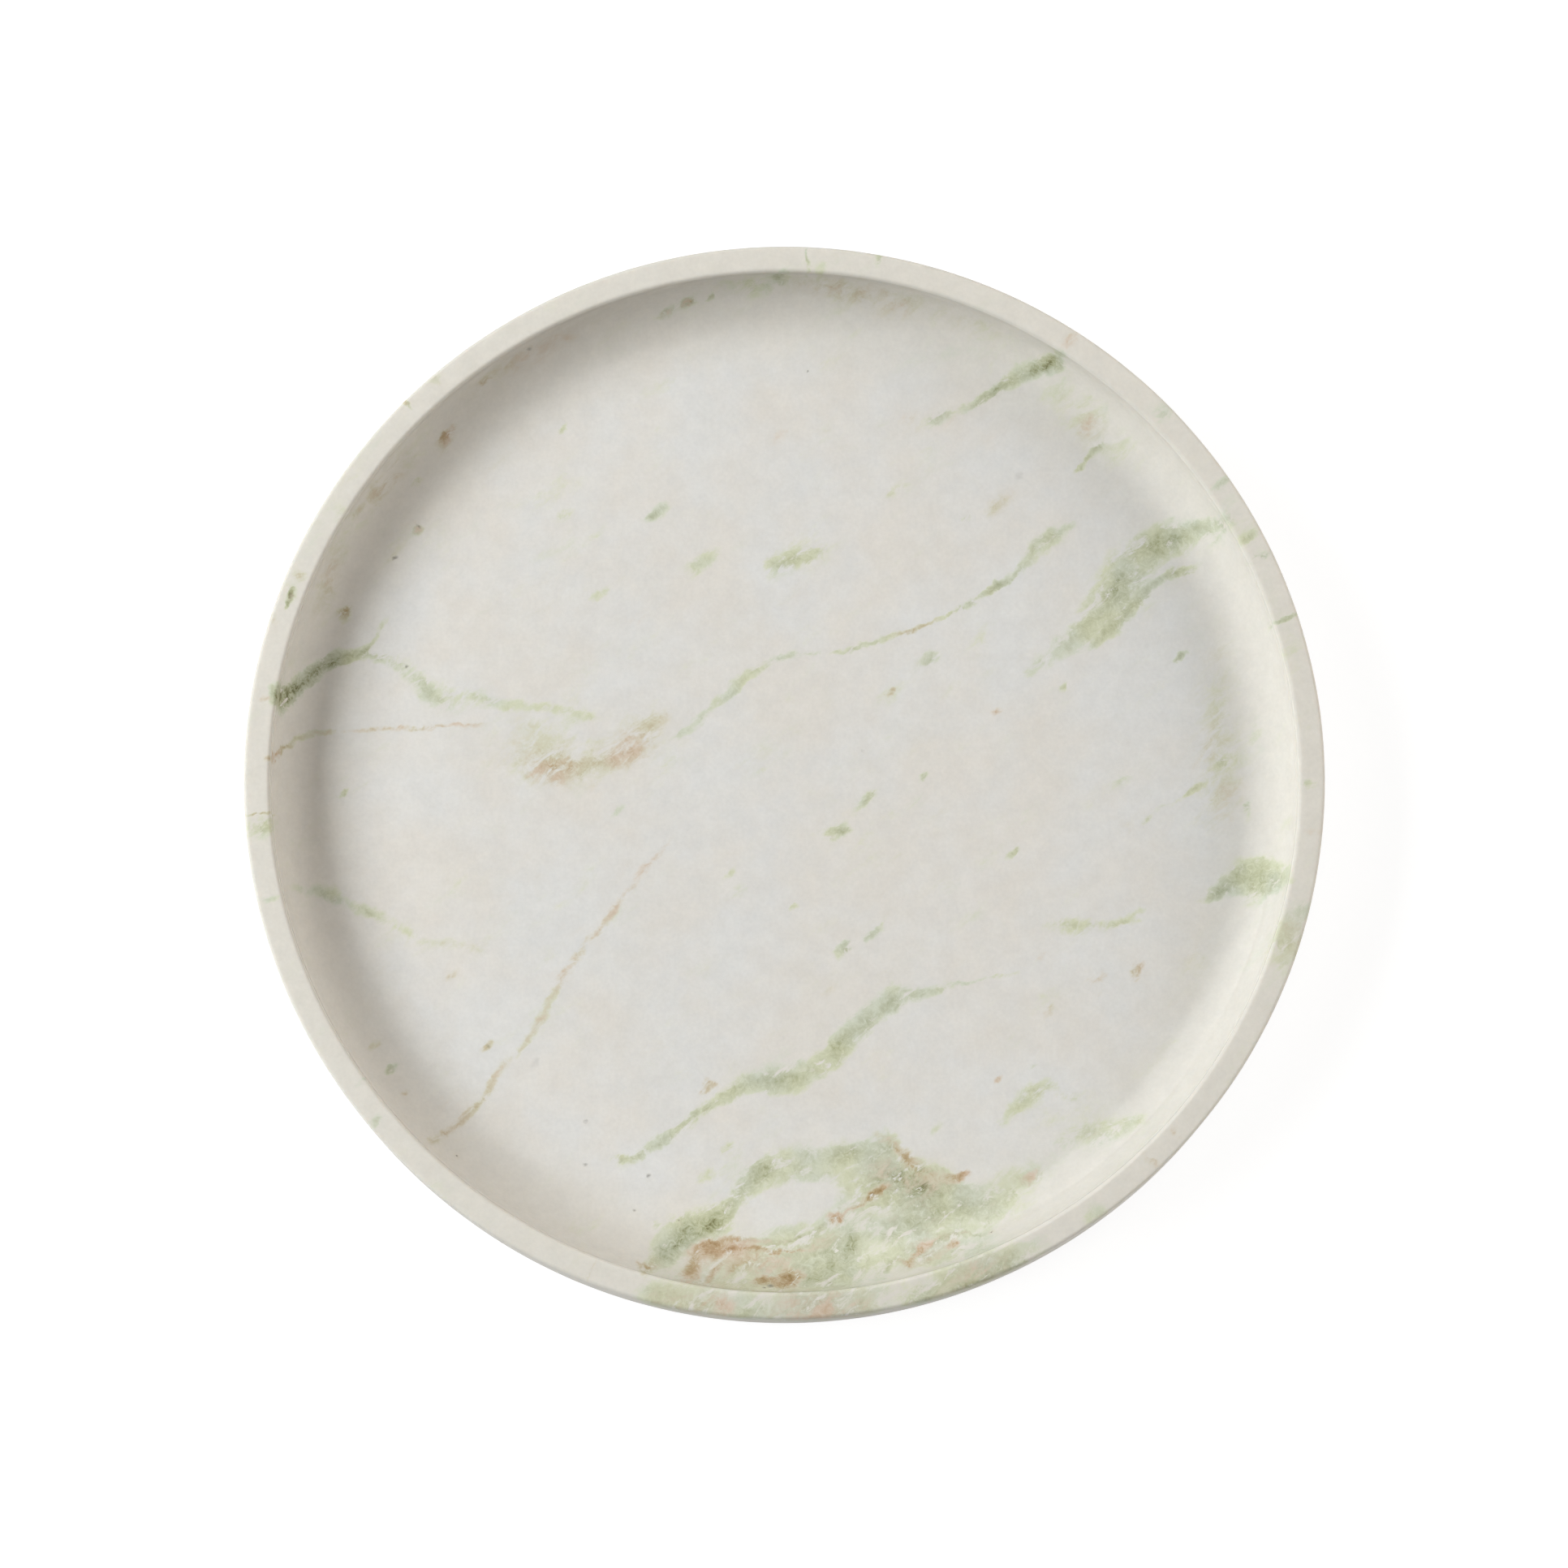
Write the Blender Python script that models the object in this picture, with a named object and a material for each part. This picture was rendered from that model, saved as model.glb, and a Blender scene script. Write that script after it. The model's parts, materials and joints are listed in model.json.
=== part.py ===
"""Round serving tray turned from one slab of veined marble, standing on self-adhesive felt pads.

Run with: blender --background --python part.py
Metres, +Z up. The origin is on the table, under the middle of the tray.
"""

import math

import bmesh
import bpy

MM = 0.001

# Stone body
TRAY_DIAMETER = 300.0 * MM
WALL_THICKNESS = 7.4 * MM
FLOOR_THICKNESS = 9.0 * MM
WELL_DEPTH = 18.0 * MM
COVE_RADIUS = 15.0 * MM
RIM_INNER_ROUND = 1.2 * MM
RIM_OUTER_ROUND = 1.0 * MM
BASE_ROUND = 2.0 * MM

# Felt pads and the adhesive film that holds each one
PAD_COUNT = 4
PAD_DIAMETER = 22.0 * MM
PAD_THICKNESS = 2.0 * MM
PAD_EDGE_ROUND = 0.35 * MM
PAD_INSET = 20.0 * MM
FILM_MARGIN = 1.0 * MM
FILM_THICKNESS = 0.4 * MM

# Gap left between two faces that rest on each other
SEAT_GAP = 0.3 * MM

# Points closer than this share of the gap are one point
MERGE_SHARE = 0.01

# The pad's edge is worn over at most this share of its thickness
PAD_EDGE_LARGEST_SHARE = 1 / 3

# Turn of the first pad from the X axis, as a share of the turn between two pads
FIRST_PAD_TURN_SHARE = 0.5

# Facets of the round shapes
TURN_STEPS = 128
COVE_STEPS = 10
ROUND_STEPS = 4
PAD_STEPS = 32
PAD_EDGE_STEPS = 2

# Heights and radii that follow from the sizes above
TRAY_RADIUS = TRAY_DIAMETER / 2
WELL_RADIUS = TRAY_RADIUS - WALL_THICKNESS
FILM_BASE = PAD_THICKNESS + SEAT_GAP
STONE_BASE = FILM_BASE + FILM_THICKNESS + SEAT_GAP
FLOOR_TOP = STONE_BASE + FLOOR_THICKNESS
RIM_TOP = FLOOR_TOP + WELL_DEPTH
COVE_FIT = min(COVE_RADIUS, WELL_DEPTH - RIM_INNER_ROUND)
PAD_CIRCLE_RADIUS = TRAY_RADIUS - PAD_INSET - PAD_DIAMETER / 2
FILM_DIAMETER = PAD_DIAMETER - 2 * FILM_MARGIN

QUARTER_TURN = math.pi / 2

# The parts' colours (linear RGB), roughness and metallic value
MARBLE_COLOUR = (0.66, 0.65, 0.60)
FELT_COLOUR = (0.46, 0.43, 0.38)
FILM_COLOUR = (0.80, 0.78, 0.70)
MARBLE_ROUGHNESS = 0.28
FELT_ROUGHNESS = 0.95
FILM_ROUGHNESS = 0.35


def clear_scene():
    """Starts from an empty file."""
    for thing in list(bpy.data.objects):
        bpy.data.objects.remove(thing, do_unlink=True)


def plain_material(name, colour, roughness, metallic=0.0):
    """One Principled surface with the part's own colour."""
    material = bpy.data.materials.new(name)
    material.use_nodes = True
    shader = material.node_tree.nodes["Principled BSDF"]
    shader.inputs["Base Color"].default_value = (*colour, 1.0)
    shader.inputs["Roughness"].default_value = roughness
    shader.inputs["Metallic"].default_value = metallic
    return material


def arc(centre_x, centre_z, radius, start, end, steps):
    """Points of an arc in the XZ plane, from one angle to another, both ends included."""
    angles = [start + (end - start) * step / steps for step in range(steps + 1)]
    return [(centre_x + radius * math.cos(a), centre_z + radius * math.sin(a)) for a in angles]


def tray_outline():
    """Half section of the stone: out along the well's floor, up the cove, over the rim, down and back."""
    axis_top = [(0.0, FLOOR_TOP)]
    cove = arc(WELL_RADIUS - COVE_FIT, FLOOR_TOP + COVE_FIT, COVE_FIT, -QUARTER_TURN, 0.0, COVE_STEPS)
    rim_inner = arc(
        WELL_RADIUS + RIM_INNER_ROUND,
        RIM_TOP - RIM_INNER_ROUND,
        RIM_INNER_ROUND,
        2 * QUARTER_TURN,
        QUARTER_TURN,
        ROUND_STEPS,
    )
    rim_outer = arc(
        TRAY_RADIUS - RIM_OUTER_ROUND,
        RIM_TOP - RIM_OUTER_ROUND,
        RIM_OUTER_ROUND,
        QUARTER_TURN,
        0.0,
        ROUND_STEPS,
    )
    base = arc(TRAY_RADIUS - BASE_ROUND, STONE_BASE + BASE_ROUND, BASE_ROUND, 0.0, -QUARTER_TURN, ROUND_STEPS)
    axis_base = [(0.0, STONE_BASE)]
    return axis_top + cove + rim_inner + rim_outer + base + axis_base


def turned_stone(name, outline, material):
    """Turns a half section about the Z axis, as the slab is turned on a lathe."""
    mesh = bpy.data.meshes.new(name)
    points = [(x, 0.0, z) for x, z in outline]
    edges = [(k, k + 1) for k in range(len(points) - 1)]
    mesh.from_pydata(points, edges, [])
    body = bpy.data.objects.new(name, mesh)
    bpy.context.scene.collection.objects.link(body)
    mesh.materials.append(material)
    lathe = body.modifiers.new("lathe", "SCREW")
    lathe.axis = "Z"
    lathe.angle = 2 * math.pi
    lathe.steps = TURN_STEPS
    lathe.render_steps = TURN_STEPS
    lathe.use_merge_vertices = True
    lathe.merge_threshold = SEAT_GAP * MERGE_SHARE
    lathe.use_smooth_shade = True
    return body


def flat_disc(name, diameter, thickness, material):
    """Upright disc standing on its own origin."""
    mesh = bpy.data.meshes.new(name)
    shape = bmesh.new()
    bmesh.ops.create_cone(
        shape,
        cap_ends=True,
        segments=PAD_STEPS,
        radius1=diameter / 2,
        radius2=diameter / 2,
        depth=thickness,
    )
    bmesh.ops.translate(shape, vec=(0.0, 0.0, thickness / 2), verts=shape.verts)
    shape.to_mesh(mesh)
    shape.free()
    mesh.materials.append(material)
    disc = bpy.data.objects.new(name, mesh)
    bpy.context.scene.collection.objects.link(disc)
    return disc


def felt_pad(name, material):
    """Die-cut felt disc with its two rims worn round."""
    pad = flat_disc(name, PAD_DIAMETER, PAD_THICKNESS, material)
    edge = pad.modifiers.new("worn_edge", "BEVEL")
    edge.width = min(PAD_EDGE_ROUND, PAD_THICKNESS * PAD_EDGE_LARGEST_SHARE)
    edge.segments = PAD_EDGE_STEPS
    edge.limit_method = "ANGLE"
    return pad


def adhesive_film(name, material):
    """Thin disc of double-sided film between a felt pad and the stone."""
    return flat_disc(name, FILM_DIAMETER, FILM_THICKNESS, material)


def pad_places():
    """Centre of each pad, evenly round the tray and clear of the X and Y axes."""
    turn = 2 * math.pi / PAD_COUNT
    for number in range(PAD_COUNT):
        angle = turn * (number + FIRST_PAD_TURN_SHARE)
        yield number + 1, PAD_CIRCLE_RADIUS * math.cos(angle), PAD_CIRCLE_RADIUS * math.sin(angle)


def build():
    """Makes the stone and glues its pads on."""
    clear_scene()
    marble = plain_material("polished_marble", MARBLE_COLOUR, MARBLE_ROUGHNESS)
    felt = plain_material("wool_felt", FELT_COLOUR, FELT_ROUGHNESS)
    film = plain_material("acrylic_film", FILM_COLOUR, FILM_ROUGHNESS)

    tray = bpy.data.objects.new("tray", None)
    bpy.context.scene.collection.objects.link(tray)

    stone = turned_stone("stone_body", tray_outline(), marble)
    stone.parent = tray
    for number, x, y in pad_places():
        foot = bpy.data.objects.new(f"foot_{number}", None)
        bpy.context.scene.collection.objects.link(foot)
        foot.parent = tray
        foot.location = (x, y, 0.0)
        pad = felt_pad(f"felt_pad_{number}", felt)
        pad.parent = foot
        glue = adhesive_film(f"adhesive_film_{number}", film)
        glue.parent = foot
        glue.location = (0.0, 0.0, FILM_BASE)


build()
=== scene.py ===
"""Looks of a round serving tray turned from one slab of veined marble.

Metres, +Z up, in the frame of the CAD model. The script dresses the CAD model, lays out the stage
and leaves a camera at the photograph's viewing angle. Places on the stone are pixels of the
photograph, which the camera below throws onto the stone's own surface.
"""

import json
import math
import random

import bpy
from mathutils import Matrix, Quaternion, Vector, noise


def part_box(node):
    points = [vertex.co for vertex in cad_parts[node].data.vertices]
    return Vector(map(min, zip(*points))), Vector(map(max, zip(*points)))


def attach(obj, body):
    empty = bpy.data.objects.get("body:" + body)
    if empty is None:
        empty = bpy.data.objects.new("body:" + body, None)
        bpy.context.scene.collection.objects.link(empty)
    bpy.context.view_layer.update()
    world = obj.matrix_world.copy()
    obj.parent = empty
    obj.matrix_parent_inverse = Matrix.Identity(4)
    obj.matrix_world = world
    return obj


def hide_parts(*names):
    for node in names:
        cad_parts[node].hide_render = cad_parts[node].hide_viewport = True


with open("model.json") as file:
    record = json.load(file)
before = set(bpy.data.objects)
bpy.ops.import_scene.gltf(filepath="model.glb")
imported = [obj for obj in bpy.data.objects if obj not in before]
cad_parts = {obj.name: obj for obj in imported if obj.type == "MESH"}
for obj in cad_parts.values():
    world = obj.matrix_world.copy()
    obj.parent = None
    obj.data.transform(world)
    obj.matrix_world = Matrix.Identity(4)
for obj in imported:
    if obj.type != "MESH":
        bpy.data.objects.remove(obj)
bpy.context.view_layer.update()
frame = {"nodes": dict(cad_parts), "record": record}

bl_info = {
    "name": "Round Marble Tray",
    "version": (1, 0, 0),
    "blender": (4, 5, 0),
    "location": "3D View > Sidebar > Tray",
    "description": "Dresses a turned marble tray with its veins, felt pads and adhesive films",
    "category": "Object",
}

MM = 0.001
BODY = "root"

# Sizes of the stone, read from the CAD model
STONE_LOW, STONE_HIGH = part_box("stone_body")
TRAY_RADIUS = STONE_HIGH.x
RIM_TOP = STONE_HIGH.z
STONE_BASE = STONE_LOW.z
FLOOR_TOP = next(m["pos_m"][2] for m in frame["record"]["mounts"] if m["name"] == "well_floor")
SAME_HEIGHT = 0.01 * MM
WALL_TOP_BAND = 2.0 * MM


def cad_radii(low, high):
    """Radii of the CAD stone's points between two heights, smallest first."""
    points = [p.co for p in frame["nodes"]["stone_body"].data.vertices]
    return sorted(math.hypot(p.x, p.y) for p in points if low - SAME_HEIGHT < p.z < high + SAME_HEIGHT)


RIM_FLAT_OUTER = cad_radii(RIM_TOP, RIM_TOP)[-1]
WELL_RADIUS = cad_radii(RIM_TOP - WALL_TOP_BAND, RIM_TOP)[0]
FLOOR_RADIUS = cad_radii(FLOOR_TOP, FLOOR_TOP)[-1]
BASE_FLAT_RADIUS = cad_radii(STONE_BASE, STONE_BASE)[-1]
COVE_RADIUS = WELL_RADIUS - FLOOR_RADIUS
RIM_MIDDLE = (WELL_RADIUS + TRAY_RADIUS) / 2

# The photograph: its width, where the rim's two sides lie and where the middle of the rim's plane lies
PHOTO_PX = 1932
RIM_LEFT_PX = 299.8
RIM_RIGHT_PX = 1633.2
RIM_CENTRE_PX = (966.5, 957.4)
PX_PER_METRE = (RIM_RIGHT_PX - RIM_LEFT_PX) / (2 * TRAY_RADIUS)

# Where the polished cove reflects the window panel
WINDOW_GLINT_PX = (1492, 1210)

# The camera: how far it stands from the rim and how far it leans from the vertical
CAMERA_DISTANCE = 1.85
CAMERA_TILT = math.radians(7.2)
CAMERA_REACH = 50.0
SENSOR_WIDTH_MM = 36.0

# How often a place on the stone is corrected for the height that the stone has there
HEIGHT_STEPS = 12

# Amounts of mineral are given in this order, and the last is left out where there is none
MINERALS = ("green", "rust")

# Veins: each point is a pixel of the photograph, then half the width in mm and the minerals
VEINS_PX = {
    "left vein": [
        (343, 862, 3.9, 1.12), (369, 845, 3.8, 1.1), (386, 829, 3.8, 1.02), (405, 814, 3.5, 0.9),
        (427, 811, 2.8, 0.7), (450, 808, 2, 0.46), (472, 810, 2, 0.36), (490, 817, 3.2, 0.3),
        (503, 829, 4.6, 0.28), (517, 845, 5.4, 0.3), (536, 858, 5.8, 0.3), (560, 860, 4.8, 0.28),
        (592, 861, 3, 0.24, 0.02), (628, 869, 2.2, 0.24, 0.03), (664, 873, 1.8, 0.22, 0.03),
        (695, 875, 1.6, 0.18, 0.02), (733, 886, 1.4, 0.14),
    ],
    "left branch": [
        (448, 803, 1, 0.35), (459, 794, 1.2, 0.4), (472, 768, 1, 0.22),
    ],
    "rust thread": [
        (336, 938, 1.5, 0.1, 0.46), (347, 922, 1.2, 0.2, 0.42), (365, 911, 1.1, 0.34, 0.2),
        (387, 904, 1.2, 0.36, 0.12), (418, 902, 0.8, 0.1, 0.14), (459, 899, 1, 0.04, 0.26),
        (490, 897, 1, 0.04, 0.26), (521, 895, 0.9, 0.04, 0.32), (557, 892, 0.8, 0, 0.26),
        (590, 893, 0.8, 0, 0.18),
    ],
    "long vein": [
        (838, 907, 1.6, 0.22), (860, 889, 1.8, 0.28), (883, 866, 1.8, 0.3), (900, 851, 2, 0.34),
        (916, 834, 2.2, 0.36), (936, 824, 1.8, 0.3), (956, 814, 1.4, 0.24), (987, 807, 1.1, 0.2),
        (1014, 806, 1.1, 0.22), (1045, 801, 1.2, 0.38), (1072, 793, 1.2, 0.42),
        (1094, 788, 1.1, 0.38, 0.1), (1116, 779, 0.9, 0.2, 0.35), (1139, 771, 0.9, 0.1, 0.4),
        (1161, 763, 0.9, 0.34, 0.1), (1181, 751, 1.1, 0.42), (1203, 741, 1, 0.4), (1228, 720, 1.7, 0.6),
        (1246, 713, 0.8, 0.34), (1259, 697, 2.4, 0.36), (1273, 678, 3, 0.42), (1295, 659, 2.6, 0.46),
        (1319, 647, 1.4, 0.4),
    ],
    "upper vein": [
        (1150, 519, 2.2, 0.28), (1168, 513, 1.8, 0.24), (1182, 507, 1.1, 0.12), (1197, 499, 1.4, 0.42),
        (1214, 488, 1.5, 0.46), (1232, 476, 1.7, 0.52), (1250, 465, 2.7, 0.6), (1268, 456, 3, 0.66),
        (1286, 450, 3.2, 0.74), (1303, 447, 2.8, 0.74),
    ],
    "wide vein": [
        (1508, 646, 3, 0.36), (1473, 656, 5.2, 0.44), (1442, 666, 6.4, 0.5), (1411, 682, 6.2, 0.46),
        (1385, 706, 7.6, 0.44), (1371, 731, 8.8, 0.44), (1357, 753, 8, 0.36), (1339, 776, 6, 0.32),
        (1317, 793, 4.4, 0.3), (1290, 811, 3, 0.28), (1268, 827, 2, 0.22),
    ],
    "wide strand": [
        (1476, 698, 1.2, 0.25), (1449, 705, 2, 0.6), (1424, 720, 1.6, 0.45), (1406, 736, 1.7, 0.42),
        (1389, 755, 1.8, 0.4), (1371, 776, 2.4, 0.48), (1352, 794, 1.6, 0.34),
    ],
    "right vein": [
        (1480, 1110, 1.2, 0.2), (1493, 1101, 2.6, 0.5), (1507, 1093, 3.8, 0.44), (1522, 1084, 5, 0.44),
        (1541, 1079, 6, 0.38), (1562, 1078, 6.2, 0.34), (1581, 1076, 5, 0.3),
    ],
    "pale vein": [
        (1288, 1141, 2, 0.14, 0.08), (1316, 1143, 3.4, 0.18), (1339, 1138, 2.8, 0.2),
        (1362, 1142, 1.8, 0.2), (1384, 1134, 1.6, 0.22), (1402, 1120, 1.2, 0.2),
    ],
    "middle vein": [
        (762, 1428, 2.2, 0.42), (784, 1427, 1.8, 0.42), (803, 1413, 2.6, 0.54), (825, 1400, 2.4, 0.48),
        (851, 1382, 2.4, 0.46), (878, 1362, 2, 0.4), (905, 1344, 2.8, 0.46), (927, 1336, 4, 0.5),
        (950, 1333, 5, 0.5), (976, 1327, 5, 0.54), (1003, 1317, 4, 0.52), (1026, 1302, 4, 0.52),
        (1040, 1283, 4.6, 0.56), (1060, 1264, 3.8, 0.52), (1080, 1246, 3.6, 0.5), (1099, 1232, 4, 0.5),
        (1121, 1224, 3.4, 0.46), (1147, 1221, 2, 0.38), (1174, 1214, 0.9, 0.28), (1210, 1208, 0.9, 0.26),
        (1246, 1201, 0.8, 0.2),
    ],
    "low left vein": [
        (796, 1566, 1.8, 0.4, 0.42), (816, 1540, 4.6, 0.6), (838, 1520, 6, 0.66), (865, 1509, 5.6, 0.66),
        (890, 1497, 4.4, 0.6), (907, 1478, 3.4, 0.5), (925, 1456, 3.6, 0.46), (945, 1442, 3, 0.4),
    ],
    "low band": [
        (868, 1536, 1.2, 0, 0.34), (890, 1529, 1, 0.2, 0.3), (913, 1525, 1.1, 0.36, 0.2),
        (944, 1529, 1, 0.44, 0.16), (966, 1529, 0.9, 0.4, 0.16), (984, 1524, 1, 0.44, 0.1),
        (1011, 1515, 1.2, 0.36, 0.06), (1030, 1500, 1.2, 0.1, 0.2), (1034, 1486, 0.9, 0.1, 0.1),
    ],
    "low rust": [
        (906, 1538, 0.6, 0, 0.3), (923, 1537, 0.7, 0, 0.42), (948, 1539, 0.8, 0, 0.5),
        (972, 1541, 0.8, 0, 0.42), (990, 1539, 0.6, 0, 0.2),
    ],
    "north brown": [
        (1078, 1398, 1.4, 0.1, 0.12), (1100, 1408, 2.2, 0.14, 0.2), (1120, 1427, 2.4, 0.1, 0.22),
        (1141, 1444, 2, 0.14, 0.16), (1163, 1452, 1.8, 0.1, 0.18), (1186, 1450, 2, 0, 0.26),
    ],
    "middle brown": [
        (1034, 1503, 1, 0.1, 0.3), (1050, 1490, 1, 0.14, 0.3), (1066, 1478, 1.3, 0.1, 0.42),
        (1082, 1466, 1.4, 0, 0.46), (1096, 1458, 0.8, 0.1, 0.2),
    ],
    "low brown": [
        (1092, 1568, 1.6, 0.44), (1100, 1553, 1.3, 0.4, 0.1), (1118, 1558, 1.2, 0.3, 0.34),
        (1136, 1541, 1.2, 0.34, 0.34), (1158, 1523, 1.4, 0.44, 0.12), (1176, 1521, 0.9, 0.3, 0.2),
        (1193, 1518, 0.9, 0.4, 0.1), (1206, 1523, 0.7, 0.3),
    ],
    "east arc": [
        (1236, 1384, 1.6, 0.18), (1250, 1364, 3, 0.22), (1272, 1348, 3.8, 0.22), (1296, 1342, 3, 0.2),
        (1318, 1350, 1.8, 0.16),
    ],
    "east patch": [
        (1300, 1412, 2.2, 0.16), (1340, 1398, 4, 0.2, 0.06), (1376, 1392, 4, 0.2),
        (1404, 1380, 2.4, 0.18),
    ],
    "west vein": [
        (370, 1096, 1.6, 0.14), (392, 1098, 2.6, 0.22), (407, 1101, 3.4, 0.26), (427, 1113, 2.2, 0.2),
        (444, 1120, 2.8, 0.24), (462, 1125, 2.6, 0.24), (486, 1140, 1.6, 0.12),
        (520, 1158, 1.8, 0.12, 0.05), (556, 1164, 1.8, 0.1, 0.08), (590, 1172, 1.4, 0.08, 0.05),
    ],
    "hairline": [
        (820, 1041, 1.2, 0.02, 0.2), (793, 1072, 2, 0.02, 0.26), (776, 1094, 1.8, 0.05, 0.26),
        (758, 1118, 1.3, 0.1, 0.24), (740, 1147, 1.3, 0.16, 0.24), (722, 1165, 1.3, 0.18, 0.24),
        (709, 1183, 1.6, 0.18, 0.22), (691, 1208, 1.4, 0.16, 0.22), (677, 1232, 1.4, 0.2, 0.22),
        (664, 1259, 1.9, 0.22, 0.24), (646, 1284, 1.5, 0.22, 0.22), (628, 1306, 1.5, 0.2, 0.22),
        (610, 1326, 1.3, 0.14, 0.26), (599, 1348, 1.2, 0.12, 0.26), (584, 1366, 1.6, 0.14, 0.3),
        (566, 1384, 1.4, 0.14, 0.3), (534, 1406, 1.4, 0.14, 0.28),
    ],
}

# Flecks of mineral: a pixel of the photograph, then half the length in mm and the minerals
FLECKS_PX = [
    (972, 690, 8.4, 0.36), (1004, 684, 4, 0.3), (864, 694, 6, 0.22), (812, 629, 4.2, 0.42),
    (800, 634, 3, 0.3), (739, 731, 3.4, 0.28), (691, 531, 2.2, 0.34), (1330, 577, 2.2, 0.46),
    (1341, 565, 2.2, 0.42), (1353, 551, 2.4, 0.46), (1456, 807, 2.2, 0.85), (1315, 846, 2.4, 0.42),
    (1190, 639, 2, 0.42), (1094, 610, 1.8, 0.24, 0.1), (1146, 813, 3.4, 0.3), (1139, 959, 2, 0.42),
    (1506, 940, 2.8, 0.42), (1467, 971, 2.6, 0.4), (1068, 985, 3.4, 0.38), (1030, 1025, 4.2, 0.4),
    (1246, 1052, 2.6, 0.6), (1413, 1012, 2.2, 0.32), (1536, 995, 1.8, 0.42), (978, 1118, 1.8, 0.3),
    (1040, 1167, 3.4, 0.42), (1077, 1150, 3.6, 0.36, 0.05), (1272, 1315, 1.8, 0.28),
    (1156, 1389, 3, 0.28), (1270, 1451, 3.4, 0.4, 0.3), (896, 1415, 2.6, 0.26), (869, 1449, 3.4, 0.24),
    (807, 1507, 2, 0.34), (758, 1003, 2.6, 0.24), (423, 978, 2, 0.42), (900, 1074, 2.4, 0.18),
    (914, 1098, 2.8, 0.16), (483, 1319, 2.6, 0.66), (461, 1290, 2.6, 0.2, 0.2), (512, 652, 2, 0.5, 0.2),
    (514, 594, 2, 0.3, 0.2), (548, 538, 3.4, 0.1, 0.4), (425, 752, 2.4, 0.2, 0.34),
    (847, 373, 2.2, 0.46, 0.2), (874, 364, 1.6, 0.56, 0.2), (822, 383, 2.2, 0.34, 0.14),
    (959, 340, 2.6, 0.6), (1042, 1024, 2.6, 0.3), (807, 868, 2.2, 0.2, 0.1), (662, 615, 2.4, 0.14, 0.08),
    (694, 640, 3.2, 0.16, 0.06), (960, 540, 4.6, 0, 0.12), (1388, 960, 3.4, 0.16), (1130, 990, 4, 0.12),
    (1112, 600, 4.4, 0.1, 0.06), (1228, 879, 2.6, 0, 0.24), (1098, 853, 1.8, 0, 0.34),
    (1121, 514, 4, 0, 0.14), (1232, 620, 5.4, 0, 0.1), (1339, 525, 5, 0, 0.14), (1402, 1193, 3, 0, 0.36),
    (1400, 1204, 2.4, 0, 0.3), (1353, 1206, 3, 0, 0.2), (1352, 1226, 2.8, 0, 0.14),
    (1295, 1243, 2.4, 0.1, 0.24), (1228, 1331, 2, 0, 0.3), (869, 1340, 3.2, 0, 0.34),
    (557, 1203, 2.6, 0, 0.26), (597, 1290, 2, 0, 0.34), (597, 470, 2, 0, 0.36),
    (499, 1348, 1.8, 0, 0.34), (1284, 1178, 2.8, 0, 0.16), (1020, 1222, 3, 0, 0.12),
]

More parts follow.
